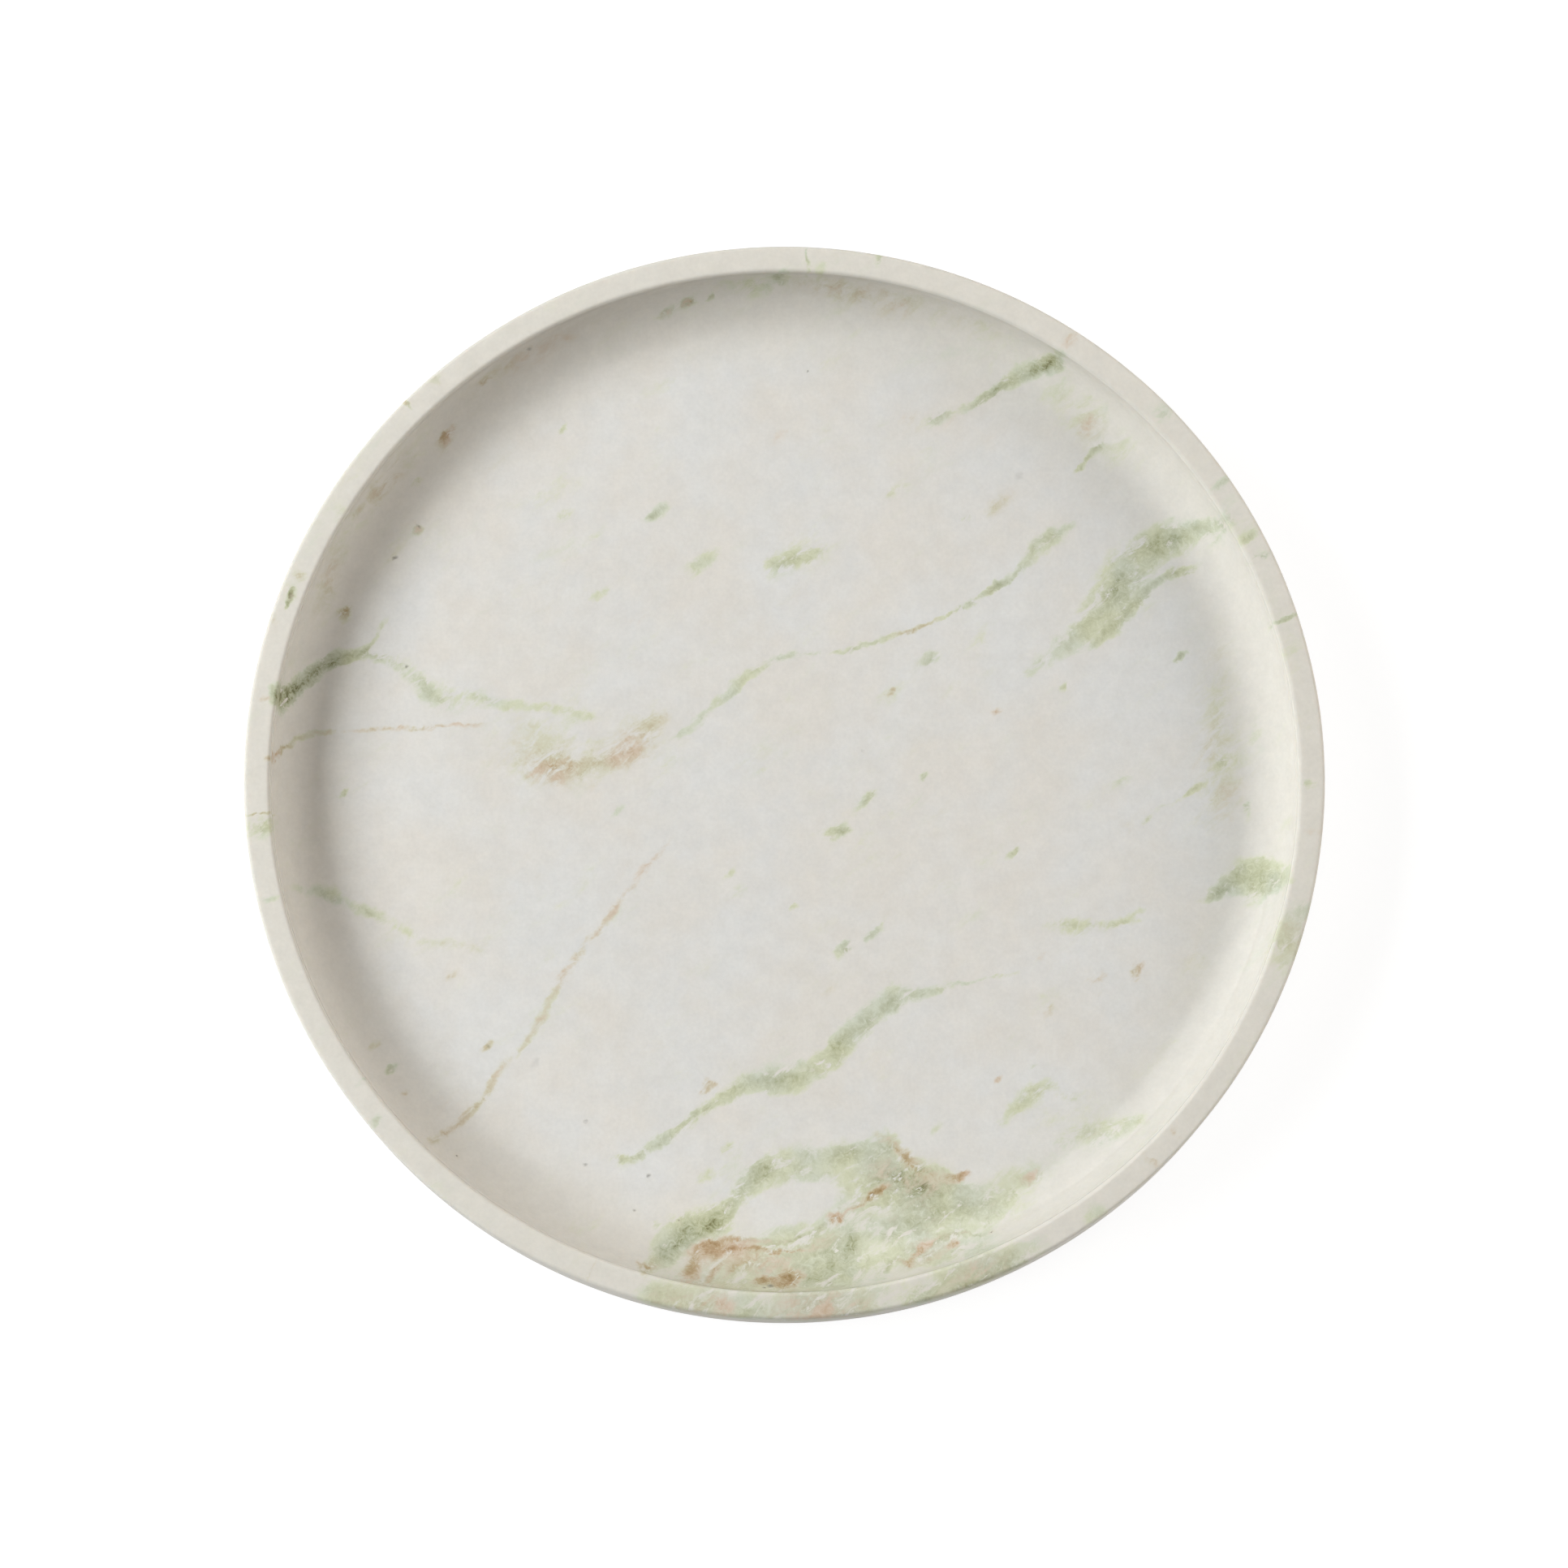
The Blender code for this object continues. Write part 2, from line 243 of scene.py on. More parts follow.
# Patches of mineral: a pixel of the photograph, then half the length and half the width in mm, degrees
# round from the photograph's right and the minerals. A patch below nothing is a white island. A few long
# bands along the cove are painted shade rather than mineral, as noted where they stand
PATCHES_PX = [
    (1065, 1498, 50, 24, -8, 0.2, 0.03), (1180, 1520, 30, 12, 24, 0.14, 0.03),
    (1000, 1545, 42, 14, 4, 0.34, 0.04), (1000, 1590, 46, 7, 4, 0.34, 0.05),
    (1110, 1465, 26, 15, -16, 0.4, 0.1), (880, 1582, 24, 6, -12, 0.3, 0.14),
    (1250, 1460, 24, 8, 30, 0.14, 0.04), (985, 1435, 26, 8.4, 12, 0.3), (1180, 1485, 30, 8.4, -4, 0.32),
    (936, 1560, 22, 8, 3, 0.3, 0.12), (1030, 1548, 16, 9, 20, 0.34), (1046, 1536, 8, 3, 70, 0.4),
    (1010, 1573, 16, 4.4, 6, 0.4), (1120, 1512, 14, 4.4, 14, 0.3), (834, 1538, 9.4, 5.8, 52, 0.44),
    (876, 1510, 10.4, 4.8, 30, 0.44), (1092, 1412, 7.4, 5.4, 80, 0.42, 0.05),
    (1052, 1420, 10, 4, 12, 0.42), (1092, 1446, 10, 6.4, -24, 0.42, 0.1),
    (1134, 1454, 11.4, 6.6, -18, 0.66, 0.1), (1156, 1457, 8.4, 4.2, -14, 0.5, 0.12),
    (1180, 1545, 22, 5, 18, 0.24, 0.05), (1140, 1535, 14, 3, 34, 0.3, 0.14),
    (974, 1484, 16.4, 7, 8, -0.66, -0.4), (1004, 1466, 9, 3.4, 2, -0.3), (1070, 1538, 7, 4.6, 30, -0.3),
    (1092, 1496, 6.6, 3, 4, -0.26), (1118, 1427, 9, 2.4, -50, 0, 0.3), (1078, 1470, 4.6, 3, 50, 0, 0.5),
    (1180, 1452, 4.8, 2.1, 20, 0, 0.5), (1028, 1499, 3.6, 2.8, 0, 0, 0.42),
    (882, 1538, 14, 4.8, 8, 0, 0.56), (853, 1567, 4.8, 3.8, 60, 0, 0.62),
    (971, 1577, 6.6, 4.2, 8, 0, 1.1), (939, 1579, 4.6, 1.7, 20, 0.9, 0.7),
    (1006, 1530, 12, 3.6, 10, 0, 0.16), (1140, 1552, 14, 3.4, 26, 0.06, 0.2),
    (880, 1571, 6, 1.7, 50, 0.14, 0.36), (904, 1566, 5, 1.6, 50, 0.3, 0.2),
    (794, 1558, 4, 1.9, -16, 0, 0.5), (1174, 1532, 3.2, 2.4, 70, 0, 0.42),
    (910, 1552, 20, 6, 4, 0, 0.22), (938, 1437, 4, 2.6, 30, 0.24), (1395, 735, 14, 8, 46, 0.16),
    (1440, 660, 17, 6, 14, 0.2), (1376, 722, 8, 5, 60, 0.26), (1436, 672, 8, 3.4, 12, 0.24),
    (1330, 780, 12, 4.8, 40, 0.16), (1300, 668, 9, 3.6, 34, 0.16), (966, 692, 9.4, 3.4, 12, 0.2),
    (946, 694, 3.6, 2, 10, 0.2), (868, 690, 12, 4.2, 12, 0.12), (1012, 676, 7, 2.4, 20, 0.14),
    (945, 1338, 7.6, 3.6, 16, 0.2), (1034, 1288, 5, 4.4, 60, 0.2), (1102, 1234, 6.8, 3.8, 34, 0.18),
    (1540, 1072, 10.4, 4.8, 24, 0.2), (1556, 1090, 12.4, 8.4, 14, 0.4), (1500, 1101, 5, 2.4, 32, 0.3),
    (1330, 1141, 11, 4, 0, 0.18, 0.04), (1385, 1138, 7, 1.8, 18, 0.2), (1270, 1352, 12, 5.6, 34, 0.13),
    (1360, 1396, 15, 5.4, 14, 0.14, 0.03), (1330, 1374, 22, 10, 20, 0.09, 0.03),
    (530, 852, 9, 2.6, -42, 0.2), (600, 866, 8, 2.6, -10, 0.1), (355, 855, 4.8, 2.6, 34, 0.5),
    (406, 816, 5.6, 1.8, 20, 0.3), (1284, 451, 6.4, 2.1, 22, 0.5), (1215, 487, 10, 1.7, 33, 0.24),
    (1156, 515, 9, 3.6, 28, 0.18), (1250, 468, 16, 4, 28, 0.12), (678, 945, 12, 8, -8, 0.2, 0.22),
    (690, 936, 29, 12, 4, 0.1, 0.14), (788, 906, 16, 10.4, 34, 0.12, 0.18),
    (806, 894, 8, 4.4, 40, 0.16, 0.16), (745, 938, 19, 7, 10, 0.1, 0.16),
    (658, 897, 13, 5, -10, 0.06, 0.08), (720, 884, 12, 4.4, 0, 0.12, 0.05), (905, 850, 8, 1.7, 42, 0.16),
    (1235, 715, 9, 2, 32, 0.2), (405, 1104, 5.6, 2.8, -24, 0.14), (456, 1124, 7, 3, -14, 0.14),
    (540, 1164, 17, 4.4, -6, 0.08, 0.05), (610, 1150, 10, 4, 10, 0.08), (1018, 1026, 9, 2.6, 30, 0.16),
    (1066, 988, 6, 1.7, 44, 0.22), (1041, 1166, 4, 1.8, 20, 0.3), (1076, 1148, 5, 1.5, 40, 0.26),
    (1440, 990, 12, 1.8, 32, 0.16), (1476, 968, 6, 1.4, 34, 0.24), (930, 352, 14, 5, 4, 0.2),
    (960, 342, 5, 1.8, 4, 0.36), (848, 371, 8, 1.5, 24, 0.26, 0.16), (818, 389, 4.4, 1.6, 16, 0.2, 0.14),
    (1160, 520, 24, 8, 30, 0, 0.07), (1236, 618, 10, 5, 30, 0, 0.12), (820, 470, 5, 2.4, 30, 0.08, 0.06),
    (1100, 612, 5, 1.8, 60, 0.12, 0.06), (1140, 812, 6, 2, 30, 0.18), (552, 544, 8, 3.4, 60, 0.2, 0.16),
    (424, 754, 5, 2.6, 60, 0.2, 0.24), (488, 670, 14, 4, 56, 0.1, 0.06),
    # (404, 722) and (468, 600) are painted shade: bands along the upper-left cove that make its shadow
    # darker and warmer brown
    (404, 722, 18, 6, 68, 0.2, 0.24), (468, 600, 24, 6, 52, 0.2, 0.24),
    # (1060, 362) and (650, 440) are painted shade: bands along the top and upper-left cove that make its
    # shadow warmer brown
    (1060, 362, 60, 7, -8, 0.14, 0.2), (650, 440, 34, 6, 32, 0.08, 0.18), (1550, 900, 9, 3, 84, 0.16),
    # (1500, 910) is painted shade and a painted dark reflection: a wide olive band along the foot of the
    # right cove
    (1540, 1000, 6, 2, 80, 0.2), (1500, 910, 40, 12, 86, 0.16, 0.16),
    # (1480, 1180) is painted shade: a faint olive band that darkens the lit lower-right cove
    (1340, 520, 26, 10, -46, 0.17, 0.14), (1480, 1180, 22, 9, 66, 0.08, 0.09),
    (650, 925, 30, 14, -8, 0.08, 0.05), (880, 1336, 6, 1.6, -24, 0, 0.22),
    (1090, 1200, 6, 4, 30, 0, 0.1), (1394, 1204, 10, 5, 10, 0, 0.08), (768, 1300, 14, 6, 20, 0, 0.05),
]

# Dark specks: a pixel of the photograph, then the radius in mm and how dark it is
SPECKS_PX = [
    (565, 1424, 0.75, 1), (838, 1505, 0.5, 0.9), (1222, 1518, 0.5, 0.9), (721, 1380, 0.8, 0.45),
    (720, 1433, 0.8, 0.45), (798, 1451, 1, 0.55), (784, 1491, 0.8, 0.6), (597, 1290, 0.8, 0.3),
    (653, 430, 1.3, 0.4), (486, 685, 1.1, 0.7), (515, 648, 0.7, 0.5), (847, 1021, 0.8, 0.45),
    (1063, 924, 0.8, 0.45), (500, 820, 0.8, 0.6), (992, 459, 0.4, 0.6), (1303, 631, 0.4, 0.5),
    (659, 1313, 2, 0.14), (1257, 586, 1.6, 0.14), (948, 1583, 1.3, 0.6), (943, 1586, 0.8, 0.7),
]

# Marks across the rim: degrees round from the photograph's right, half the width round the rim in mm,
# place across the rim and half the reach across as shares of the rim's width, and the minerals
RIM_MARK_SHARES = [
    (17.6, 0.9, 0.5, 0.9, 0.5), (25, 1.4, 0.4, 0.8, 0.42), (27.6, 1.9, 0.4, 0.6, 0.5),
    (34, 2, 0.6, 0.8, 0.38), (44, 4.6, 0.7, 0.8, 0.3), (57, 3, 0.6, 0.7, 0, 0.24),
    (79.8, 1.7, 0.9, 0.5, 0.46), (87.4, 0.7, 0.5, 1, 0.36), (86, 2.6, 0.3, 0.6, 0.16),
    (131, 3.4, 0.9, 0.4, 0.3, 0.16), (135, 1, 0.9, 0.5, 0.66, 0.4), (149, 6, 0.2, 0.5, 0.12, 0.1),
    (160, 4.2, 0.6, 0.15, 1.5), (159.6, 5.4, 0.6, 0.4, 0.3, 0.14), (157.4, 2.6, 0.45, 0.4, 0.3, 0.3),
    (162.6, 3, 0.9, 0.35, 0.2, 0.3), (171.6, 2, 0.5, 0.6, 0, 0.22), (184, 0.8, 0.5, 1, 0.3, 0.4),
    (185.6, 5.2, 0.5, 1.1, 0.4, 0.06), (193.4, 1.7, 0.5, 0.7, 0.3), (216, 1.2, 0.2, 0.5, 0.36),
    (220.4, 1.8, 0.7, 0.5, 0.42, 0.1), (248.8, 0.5, 0.5, 1, 0, 0.3), (256, 7, 0.7, 0.7, 0.34),
    (266, 9, 0.7, 0.7, 0.42), (263.4, 5.4, 0.6, 0.6, 0, 0.24), (275, 5.6, 0.6, 0.6, 0, 0.04),
    (285, 9, 1, 0.7, 0.3), (295, 8, 1, 0.6, 0.26), (305, 6, 0.7, 0.7, 0.28),
    (313.6, 2.2, 0.5, 0.7, 0, 0.22), (317.6, 1.8, 0.5, 0.6, 0, 0.24), (334, 3, 0.5, 0.8, 0, 0.14),
    (342.2, 14, 0.5, 1, 0.44, 0.2), (346, 6, 0.8, 0.7, 0.2), (354, 2.4, 0.6, 0.6, 0, 0.16),
    # The broad marks centred on the outer edge from 232 to 318 degrees make the rim's low side darker
    # and more olive towards its outer edge and down the wall's outside
    (-0.9, 1.5, 0.4, 0.6, 0.36), (232, 40, 1, 1, 0.06, 0.04), (260, 20, 1, 1.6, 0.54, 0.26),
    (274, 26, 1, 1.8, 0.6, 0.28), (291, 27, 1, 1.8, 0.66, 0.22), (318, 40, 1, 1.1, 0.08, 0.03),
    (146, 50, 0.9, 0.8, 0.06, 0.04), (20, 60, 0.3, 0.9, 0.08),
]

# Lengths that shape the veins, in mm, since the stone's pattern is worked out in mm
VEIN_FADE_MM = 3.0
VEIN_WIDEST_MM = 14.0
WARP_GRAIN_MM = 11.0
WARP_REACH_MM = 4.0
RAGGED_GRAIN_MM = 3.4
RAGGED_REACH_MM = 2.6
PATCH_THROUGH_MM = 16.0
PATCH_TURN = math.radians(15.0)
RIM_MARK_DOWN_MM = 26.0
STAIN_SPREAD = 3.2
STAIN_SHARE = 0.16
FLECK_SLIMNESS = 2.1
VEIN_SWELL = 1.3
FLECK_SWELL = 1.5
FLECK_STRENGTH = 1.05
HAZE_SLIMNESS = 2.4
STRIKE = math.radians(38.0)
DIP_SHARES = (1.3, -0.8, 0.0)

# Haze of each mineral: its width against the width that is set and the most of it. Then the noise
# over which it grows
HAZES = {"green": (1.0, 0.17), "rust": (1.4, 0.12)}
HAZE_SPAN = (0.5, 0.8)

# What most of a noise's values lie between, and how far growth, fibres and clots make a mineral
# thinner and denser over that span
NOISE_SPAN = (0.3, 0.7)
GROWTH_REACH = (-0.2, 2.2)
FIBRE_REACH = (0.35, 1.6)
CLOT_REACH = (0.65, 1.35)

# Colours of each mineral, from hardly any of it to the densest that the ramp shows, and the tints
# that it takes at its coolest and warmest
DENSEST = 1.6
TONES = {
    "green": [(0.0, "#DADBCD"), (0.25, "#D1D3C3"), (0.5, "#C5C7B3"), (0.8, "#B8BAA2"),
              (1.0, "#AEB096"), (1.2, "#A1A386"), (1.4, "#90906F"), (1.6, "#7A7A59")],
    "rust": [(0.0, "#DAD5CC"), (0.2, "#D5CCC0"), (0.4, "#CCBFAD"), (0.6, "#C0AC92"),
             (0.9, "#B49B7C"), (1.3, "#A0855F")],
}
TINTS = {"green": ("#FCFEFF", "#FFFFF4"), "rust": ("#FFF8F4", "#F8FDF2")}
HUE_SPAN = (0.4, 0.6)
PYRITE = "#453F36"

# How much of a mineral starts to show, and how much hides the white ground
COVER = {"green": (0.02, 0.36), "rust": (0.02, 0.45)}

# The white ground: the noise over which it turns warm, how much its mottling and its grain darken and
# lighten it, where a painted glow of light through the thin stone makes it creamy and where it is honed,
# counted from the well's wall, and how wavy it is
WARM_SPAN = (0.36, 0.64)
MOTTLE_REACH = (0.97, 1.025)
GRAIN_REACH = (0.975, 1.022)
GLOW_BAND = 10.0 * MM
HONED_FROM = 0.2 * MM
HONED_TO = 1.0 * MM
SOFTNESS_OF_GREEN = 0.1
WAVE_HEIGHT = 0.04 * MM

# Felt: spacing of its fibres and of its matting in mm, how high its nap looks and how it is spaced,
# how much its cut edges are crushed and where the edge's rings lie, as shares of its thickness
FELT_FIBRE_MM = 0.35
MATTING_MM = 2.5
NAP_HEIGHT = 0.1 * MM
NAP_SPACING = 0.9 * MM
PAD_CRUSH = 0.22
PAD_EDGE_SHARES = (0.4, 0.5, 0.6)
PAD_RINGS = 14
PAD_EDGE_STEPS = 4

# A loose fibre of the felt: how far it strays sideways, in radians, and up or down, its shortest and
# longest as shares of the length that is set, where and how far it bends, and how thick it is
FIBRE_STRAY = 0.9
FIBRE_RISE = 0.3
FIBRE_SHORTEST, FIBRE_LONGEST = 0.35, 0.85
FIBRE_BENDS_AT = 0.6
FIBRE_BEND = 0.15 * MM
FIBRE_TAPER = 0.7
FIBRE_HALF_WIDTH = 0.025 * MM
FIBRE_DEPTH = 0.03 * MM

# Hand finish: how often the polished outside wavers round the tray, slowly and quickly
SLOW_WANDER = 4.0
QUICK_WANDER = 11.0
QUICK_SHARE = 0.5

# Facets across the rim's crown and down the wall
CROWN_STEPS = 8
WALL_STEPS = 8

# The film's ripple in mm and its roughness
RIPPLE_MM = 3.0
FILM_ROUGHNESS = (0.25, 0.45)

# The floor's board, its paint and its glow as the camera sees them, and the colour of the room's light
BOARD = "#D8D8D8"
BOARD_SEEN = "#858585"
BOARD_GLOW = 0.88
ROOM_TINT = "#FFE2B0"

# Settings of nodes that mix or multiply colours, with the places of the two colours, of those that
# give a place in a frame of its own, and of ranges that are eased at both ends
COLOURS = {"data_type": "RGBA"}
MULTIPLIED = {"data_type": "RGBA", "blend_type": "MULTIPLY"}
MIX_A, MIX_B = 6, 7
OWN_FRAME = {"vector_type": "TEXTURE"}
EASED = {"interpolation_type": "SMOOTHSTEP", "clamp": False}


def linear(hex_colour):
    """Turns an sRGB hex colour into linear RGBA."""
    channels = [int(hex_colour[k:k + 2], 16) / 255 for k in (1, 3, 5)]
    return tuple(c / 12.92 if c <= 0.04045 else ((c + 0.055) / 1.055) ** 2.4 for c in channels) + (1.0,)


def feed(node, inputs):
    """Gives each input of a node a value, or a link from a socket or from a node's first live output."""
    for name, value in inputs.items():
        if isinstance(value, bpy.types.Node):
            value = next(output for output in value.outputs if output.enabled)
        if isinstance(value, bpy.types.NodeSocket):
            node.id_data.links.new(value, node.inputs[name])
        else:
            node.inputs[name].default_value = value


def add(tree, kind, *values, named=(), **settings):
    """Adds one shader node with its settings. Its inputs take the values in order, or others by name."""
    node = tree.nodes.new("ShaderNode" + kind)
    for name, value in settings.items():
        setattr(node, name, value)
    feed(node, {**dict(enumerate(values)), **dict(named)})
    return node


def set_stops(ramp, stops):
    """Gives a colour ramp its stops, each a place from 0 to 1 and four channels."""
    elements = ramp.color_ramp.elements
    while len(elements) < len(stops):
        elements.new(1.0)
    for element, (place, channels) in zip(elements, stops):
        element.position = place
        element.color = channels
    return ramp


def clouds(tree, place, size_mm, span, reach=(), texture=(), **settings):
    """A pattern whose clouds have one size in mm, stretched so that its span of noise fills its reach,
    or runs from 0 to 1 where no reach is given."""
    noise_in = {"Vector": place, "Scale": 1 / size_mm, **dict(texture)}
    pattern = add(tree, "TexNoise", named=noise_in)
    return add(tree, "MapRange", pattern, *span, *reach, **settings)


def from_axis(tree, place):
    """How far a place lies from the tray's axis."""
    flat = add(tree, "VectorMath", place, (1.0, 1.0, 0.0), operation="MULTIPLY")
    return add(tree, "VectorMath", flat, operation="LENGTH")


def new_surface(name):
    """A new material with its tree, its shader and the places on its piece in mm."""
    material = bpy.data.materials.new(name)
    material.use_nodes = True
    tree = material.node_tree
    place = add(tree, "TexCoord").outputs["Object"]
    plain = add(tree, "VectorMath", place, named={"Scale": 1 / MM}, operation="SCALE")
    return material, tree, tree.nodes["Principled BSDF"], plain


# The photograph's camera


def camera_axes():
    """The camera's place and its forward and up directions. Its right is +X."""
    forward = Vector((0.0, math.sin(CAMERA_TILT), -math.cos(CAMERA_TILT)))
    up = Vector((0.0, math.cos(CAMERA_TILT), math.sin(CAMERA_TILT)))
    middle = PHOTO_PX / 2
    across = (middle - RIM_CENTRE_PX[0]) / PX_PER_METRE
    along = (RIM_CENTRE_PX[1] - middle) / PX_PER_METRE / math.cos(CAMERA_TILT)
    aim = Vector((across, along, RIM_TOP))
    return aim - forward * CAMERA_DISTANCE, forward, up


def stone_height(radius):
    """Height of the stone's upper surface at one distance from the tray's axis."""
    if radius < FLOOR_RADIUS:
        return FLOOR_TOP
    if radius > WELL_RADIUS:
        return RIM_TOP
    rise = COVE_RADIUS - math.sqrt(max(COVE_RADIUS ** 2 - (radius - FLOOR_RADIUS) ** 2, 0.0))
    return FLOOR_TOP + rise


def on_stone(px, py):
    """Where the ray through one pixel of the photograph meets the stone, in metres."""
    place, forward, up = camera_axes()
    focal = PX_PER_METRE * CAMERA_DISTANCE
    ray = forward + Vector(((px - PHOTO_PX / 2) / focal, 0.0, 0.0)) + up * ((PHOTO_PX / 2 - py) / focal)
    height = FLOOR_TOP
    for _ in range(HEIGHT_STEPS):
        point = place + ray * ((height - place.z) / ray.z)
        height += (stone_height(math.hypot(point.x, point.y)) - height) / 2
    return point


# The stone's pattern


def lay_vein(tree, spot, name, points, totals):
    """Adds one vein. In its own frame X runs along it from 0 to 1 and Y across it, and a ramp along X
    holds its swing, width, green and rust."""
    places = [on_stone(x, y).xy / MM for x, y, *_ in points]
    along = (places[-1] - places[0]).normalized()
    across = Vector((-along.y, along.x))
    start = places[0] - along * VEIN_FADE_MM
    length = (places[-1] - places[0]).length + 2 * VEIN_FADE_MM
    shares = [(place - start).dot(along) / length for place in places]
    swings = [(place - start).dot(across) for place in places]
    if shares != sorted(shares):
        raise ValueError(f"the points of the {name} turn back on themselves")
    lowest = min(swings)
    swing_range = max(max(swings) - lowest, MM)
    stops = []
    for share, swing, (_, _, half_width, *minerals) in zip(shares, swings, points):
        width = VEIN_SWELL * half_width / VEIN_WIDEST_MM
        stops.append((share, ((swing - lowest) / swing_range, width, *(*minerals, 0.0)[:2])))
    stops.insert(0, (0.0, (*stops[0][1][:2], 0.0, 0.0)))
    stops.append((1.0, (*stops[-1][1][:2], 0.0, 0.0)))

    corner = (*(start + across * lowest), 0.0)
    turned = (0.0, 0.0, math.atan2(along.y, along.x))
    scale = (length, VEIN_WIDEST_MM, 1.0)
    own = add(tree, "Mapping", spot, corner, turned, scale, **OWN_FRAME, label=name)
    split = add(tree, "SeparateXYZ", own)
    ramp = set_stops(add(tree, "ValToRGB", split.outputs["X"]), stops)
    parts = add(tree, "SeparateColor", ramp)
    swing = -swing_range / VEIN_WIDEST_MM
    off = add(tree, "Math", parts.outputs[0], swing, split.outputs["Y"], operation="MULTIPLY_ADD")
    away = add(tree, "Math", off, operation="ABSOLUTE")
    body = add(tree, "MapRange", away, parts.outputs[1], 0.0, **EASED)
    for channel, mineral, amount in ((2, "green", parts.outputs[2]), (3, "rust", ramp.outputs["Alpha"])):
        if any(channels[channel] for _, channels in stops):
            totals[mineral] = add(tree, "Math", body, amount, totals[mineral], operation="MULTIPLY_ADD")


def lay_lens(tree, distance, edge, amounts, totals):
    """Adds one lens of mineral, thickest in its middle, where a distance falls below its edge."""
    for mineral, amount in amounts.items():
        if amount:
            lens = add(tree, "MapRange", distance, edge, 0.0, 0.0, amount, **EASED)
            totals[mineral] = add(tree, "Math", lens, totals[mineral], operation="ADD")


def lay_ellipse(tree, place, centre, halves, minerals, totals):
    """Adds one lens of mineral whose three half sizes differ, in the frame of the place."""
    scale = [1 / half for half in halves]
    shift = [-middle / half for middle, half in zip(centre, halves)]
    local = add(tree, "VectorMath", place, scale, shift, operation="MULTIPLY_ADD")
    gap = add(tree, "VectorMath", local, operation="LENGTH")
    lay_lens(tree, gap, 1.0, dict(zip(MINERALS, minerals)), totals)


def strike_frame(point):
    """A place in mm, turned so that X runs along the flecks and shrunk along X and Z."""
    turned = Matrix.Rotation(-STRIKE, 3, "Z") @ point
    return Vector((turned.x / FLECK_SLIMNESS, turned.y, turned.z / FLECK_SLIMNESS))


def vein_places(tree, plain, height):
    """Places in the stone in mm: those of the veins, which dip below the floor, and the same once the
    rock was squeezed, so that every vein wanders and has ragged edges."""
    below = add(tree, "Math", FLOOR_TOP / MM, height, operation="SUBTRACT")
    depth = add(tree, "Math", below, 0.0, operation="MAXIMUM")
    dipped = add(tree, "VectorMath", depth, DIP_SHARES, plain, operation="MULTIPLY_ADD")
    spot = dipped
    for grain, reach in ((WARP_GRAIN_MM, WARP_REACH_MM), (RAGGED_GRAIN_MM, RAGGED_REACH_MM)):
        drift = {"Vector": dipped, "Scale": 1 / grain, "Detail": 3.0, "Roughness": 0.6}
        drift = add(tree, "TexNoise", named=drift).outputs["Color"]
        centred = add(tree, "VectorMath", drift, (0.5, 0.5, 0.5), operation="SUBTRACT")
        spot = add(tree, "VectorMath", centred, (reach, reach, reach), spot, operation="MULTIPLY_ADD")
    return dipped, spot


def lay_minerals(tree, spot, height):
    """Adds every rim mark, speck, vein, patch and fleck, and gives how much of each mineral there is.
    Marks that need no turned frame come first, because the shader then has less to keep at a time."""
    nothing = add(tree, "Value", label="no mineral")
    nothing.outputs[0].default_value = 0.0
    totals = {mineral: nothing for mineral in (*MINERALS, "dark")}

    # Unrolled rim: X runs round the rim in mm, Y across it and Z up
    split = add(tree, "SeparateXYZ", spot)
    angle = add(tree, "Math", split.outputs["Y"], split.outputs["X"], operation="ARCTAN2")
    arc = add(tree, "Math", angle, RIM_MIDDLE / MM, operation="MULTIPLY")
    unrolled = add(tree, "CombineXYZ", arc, from_axis(tree, spot), height)
    rim_width = (TRAY_RADIUS - WELL_RADIUS) / MM
    for degrees, half_width, share, reach_share, *minerals in RIM_MARK_SHARES:
        turn = math.remainder(math.radians(degrees), 2 * math.pi)
        centre = (turn * RIM_MIDDLE / MM, WELL_RADIUS / MM + share * rim_width, RIM_TOP / MM)
        halves = (half_width, reach_share * rim_width, RIM_MARK_DOWN_MM)
        lay_ellipse(tree, unrolled, centre, halves, minerals, totals)

    # Specks of pyrite, each with a stain of its own rust round it
    for x, y, radius, strength in SPECKS_PX:
        gap = add(tree, "VectorMath", spot, on_stone(x, y) / MM, operation="DISTANCE")
        lay_lens(tree, gap, radius, {"dark": strength}, totals)
        lay_lens(tree, gap, radius * STAIN_SPREAD, {"rust": strength * STAIN_SHARE}, totals)

    for name, points in VEINS_PX.items():
        lay_vein(tree, spot, name, points, totals)

    # Patches that point nearly the same way share a frame turned that way
    frames = {}
    for x, y, half_length, half_width, degrees, *minerals in PATCHES_PX:
        turn = PATCH_TURN * round(math.radians(degrees) / PATCH_TURN)
        if turn not in frames:
            frames[turn] = add(tree, "Mapping", spot, named={"Rotation": (0.0, 0.0, turn)}, **OWN_FRAME)
        centre = Matrix.Rotation(-turn, 3, "Z") @ (on_stone(x, y) / MM)
        halves = (half_length, half_width, PATCH_THROUGH_MM)
        lay_ellipse(tree, frames[turn], centre, halves, minerals, totals)

    along = {"Rotation": (0.0, 0.0, STRIKE), "Scale": (FLECK_SLIMNESS, 1.0, FLECK_SLIMNESS)}
    struck = add(tree, "Mapping", spot, named=along, **OWN_FRAME, label="along the strike")
    for x, y, half_length, *minerals in FLECKS_PX:
        centre = strike_frame(on_stone(x, y) / MM)
        gap = add(tree, "VectorMath", struck, centre, operation="DISTANCE")
        amounts = {mineral: FLECK_STRENGTH * amount for mineral, amount in zip(MINERALS, minerals)}
        lay_lens(tree, gap, FLECK_SWELL * half_length / FLECK_SLIMNESS, amounts, totals)
    return totals


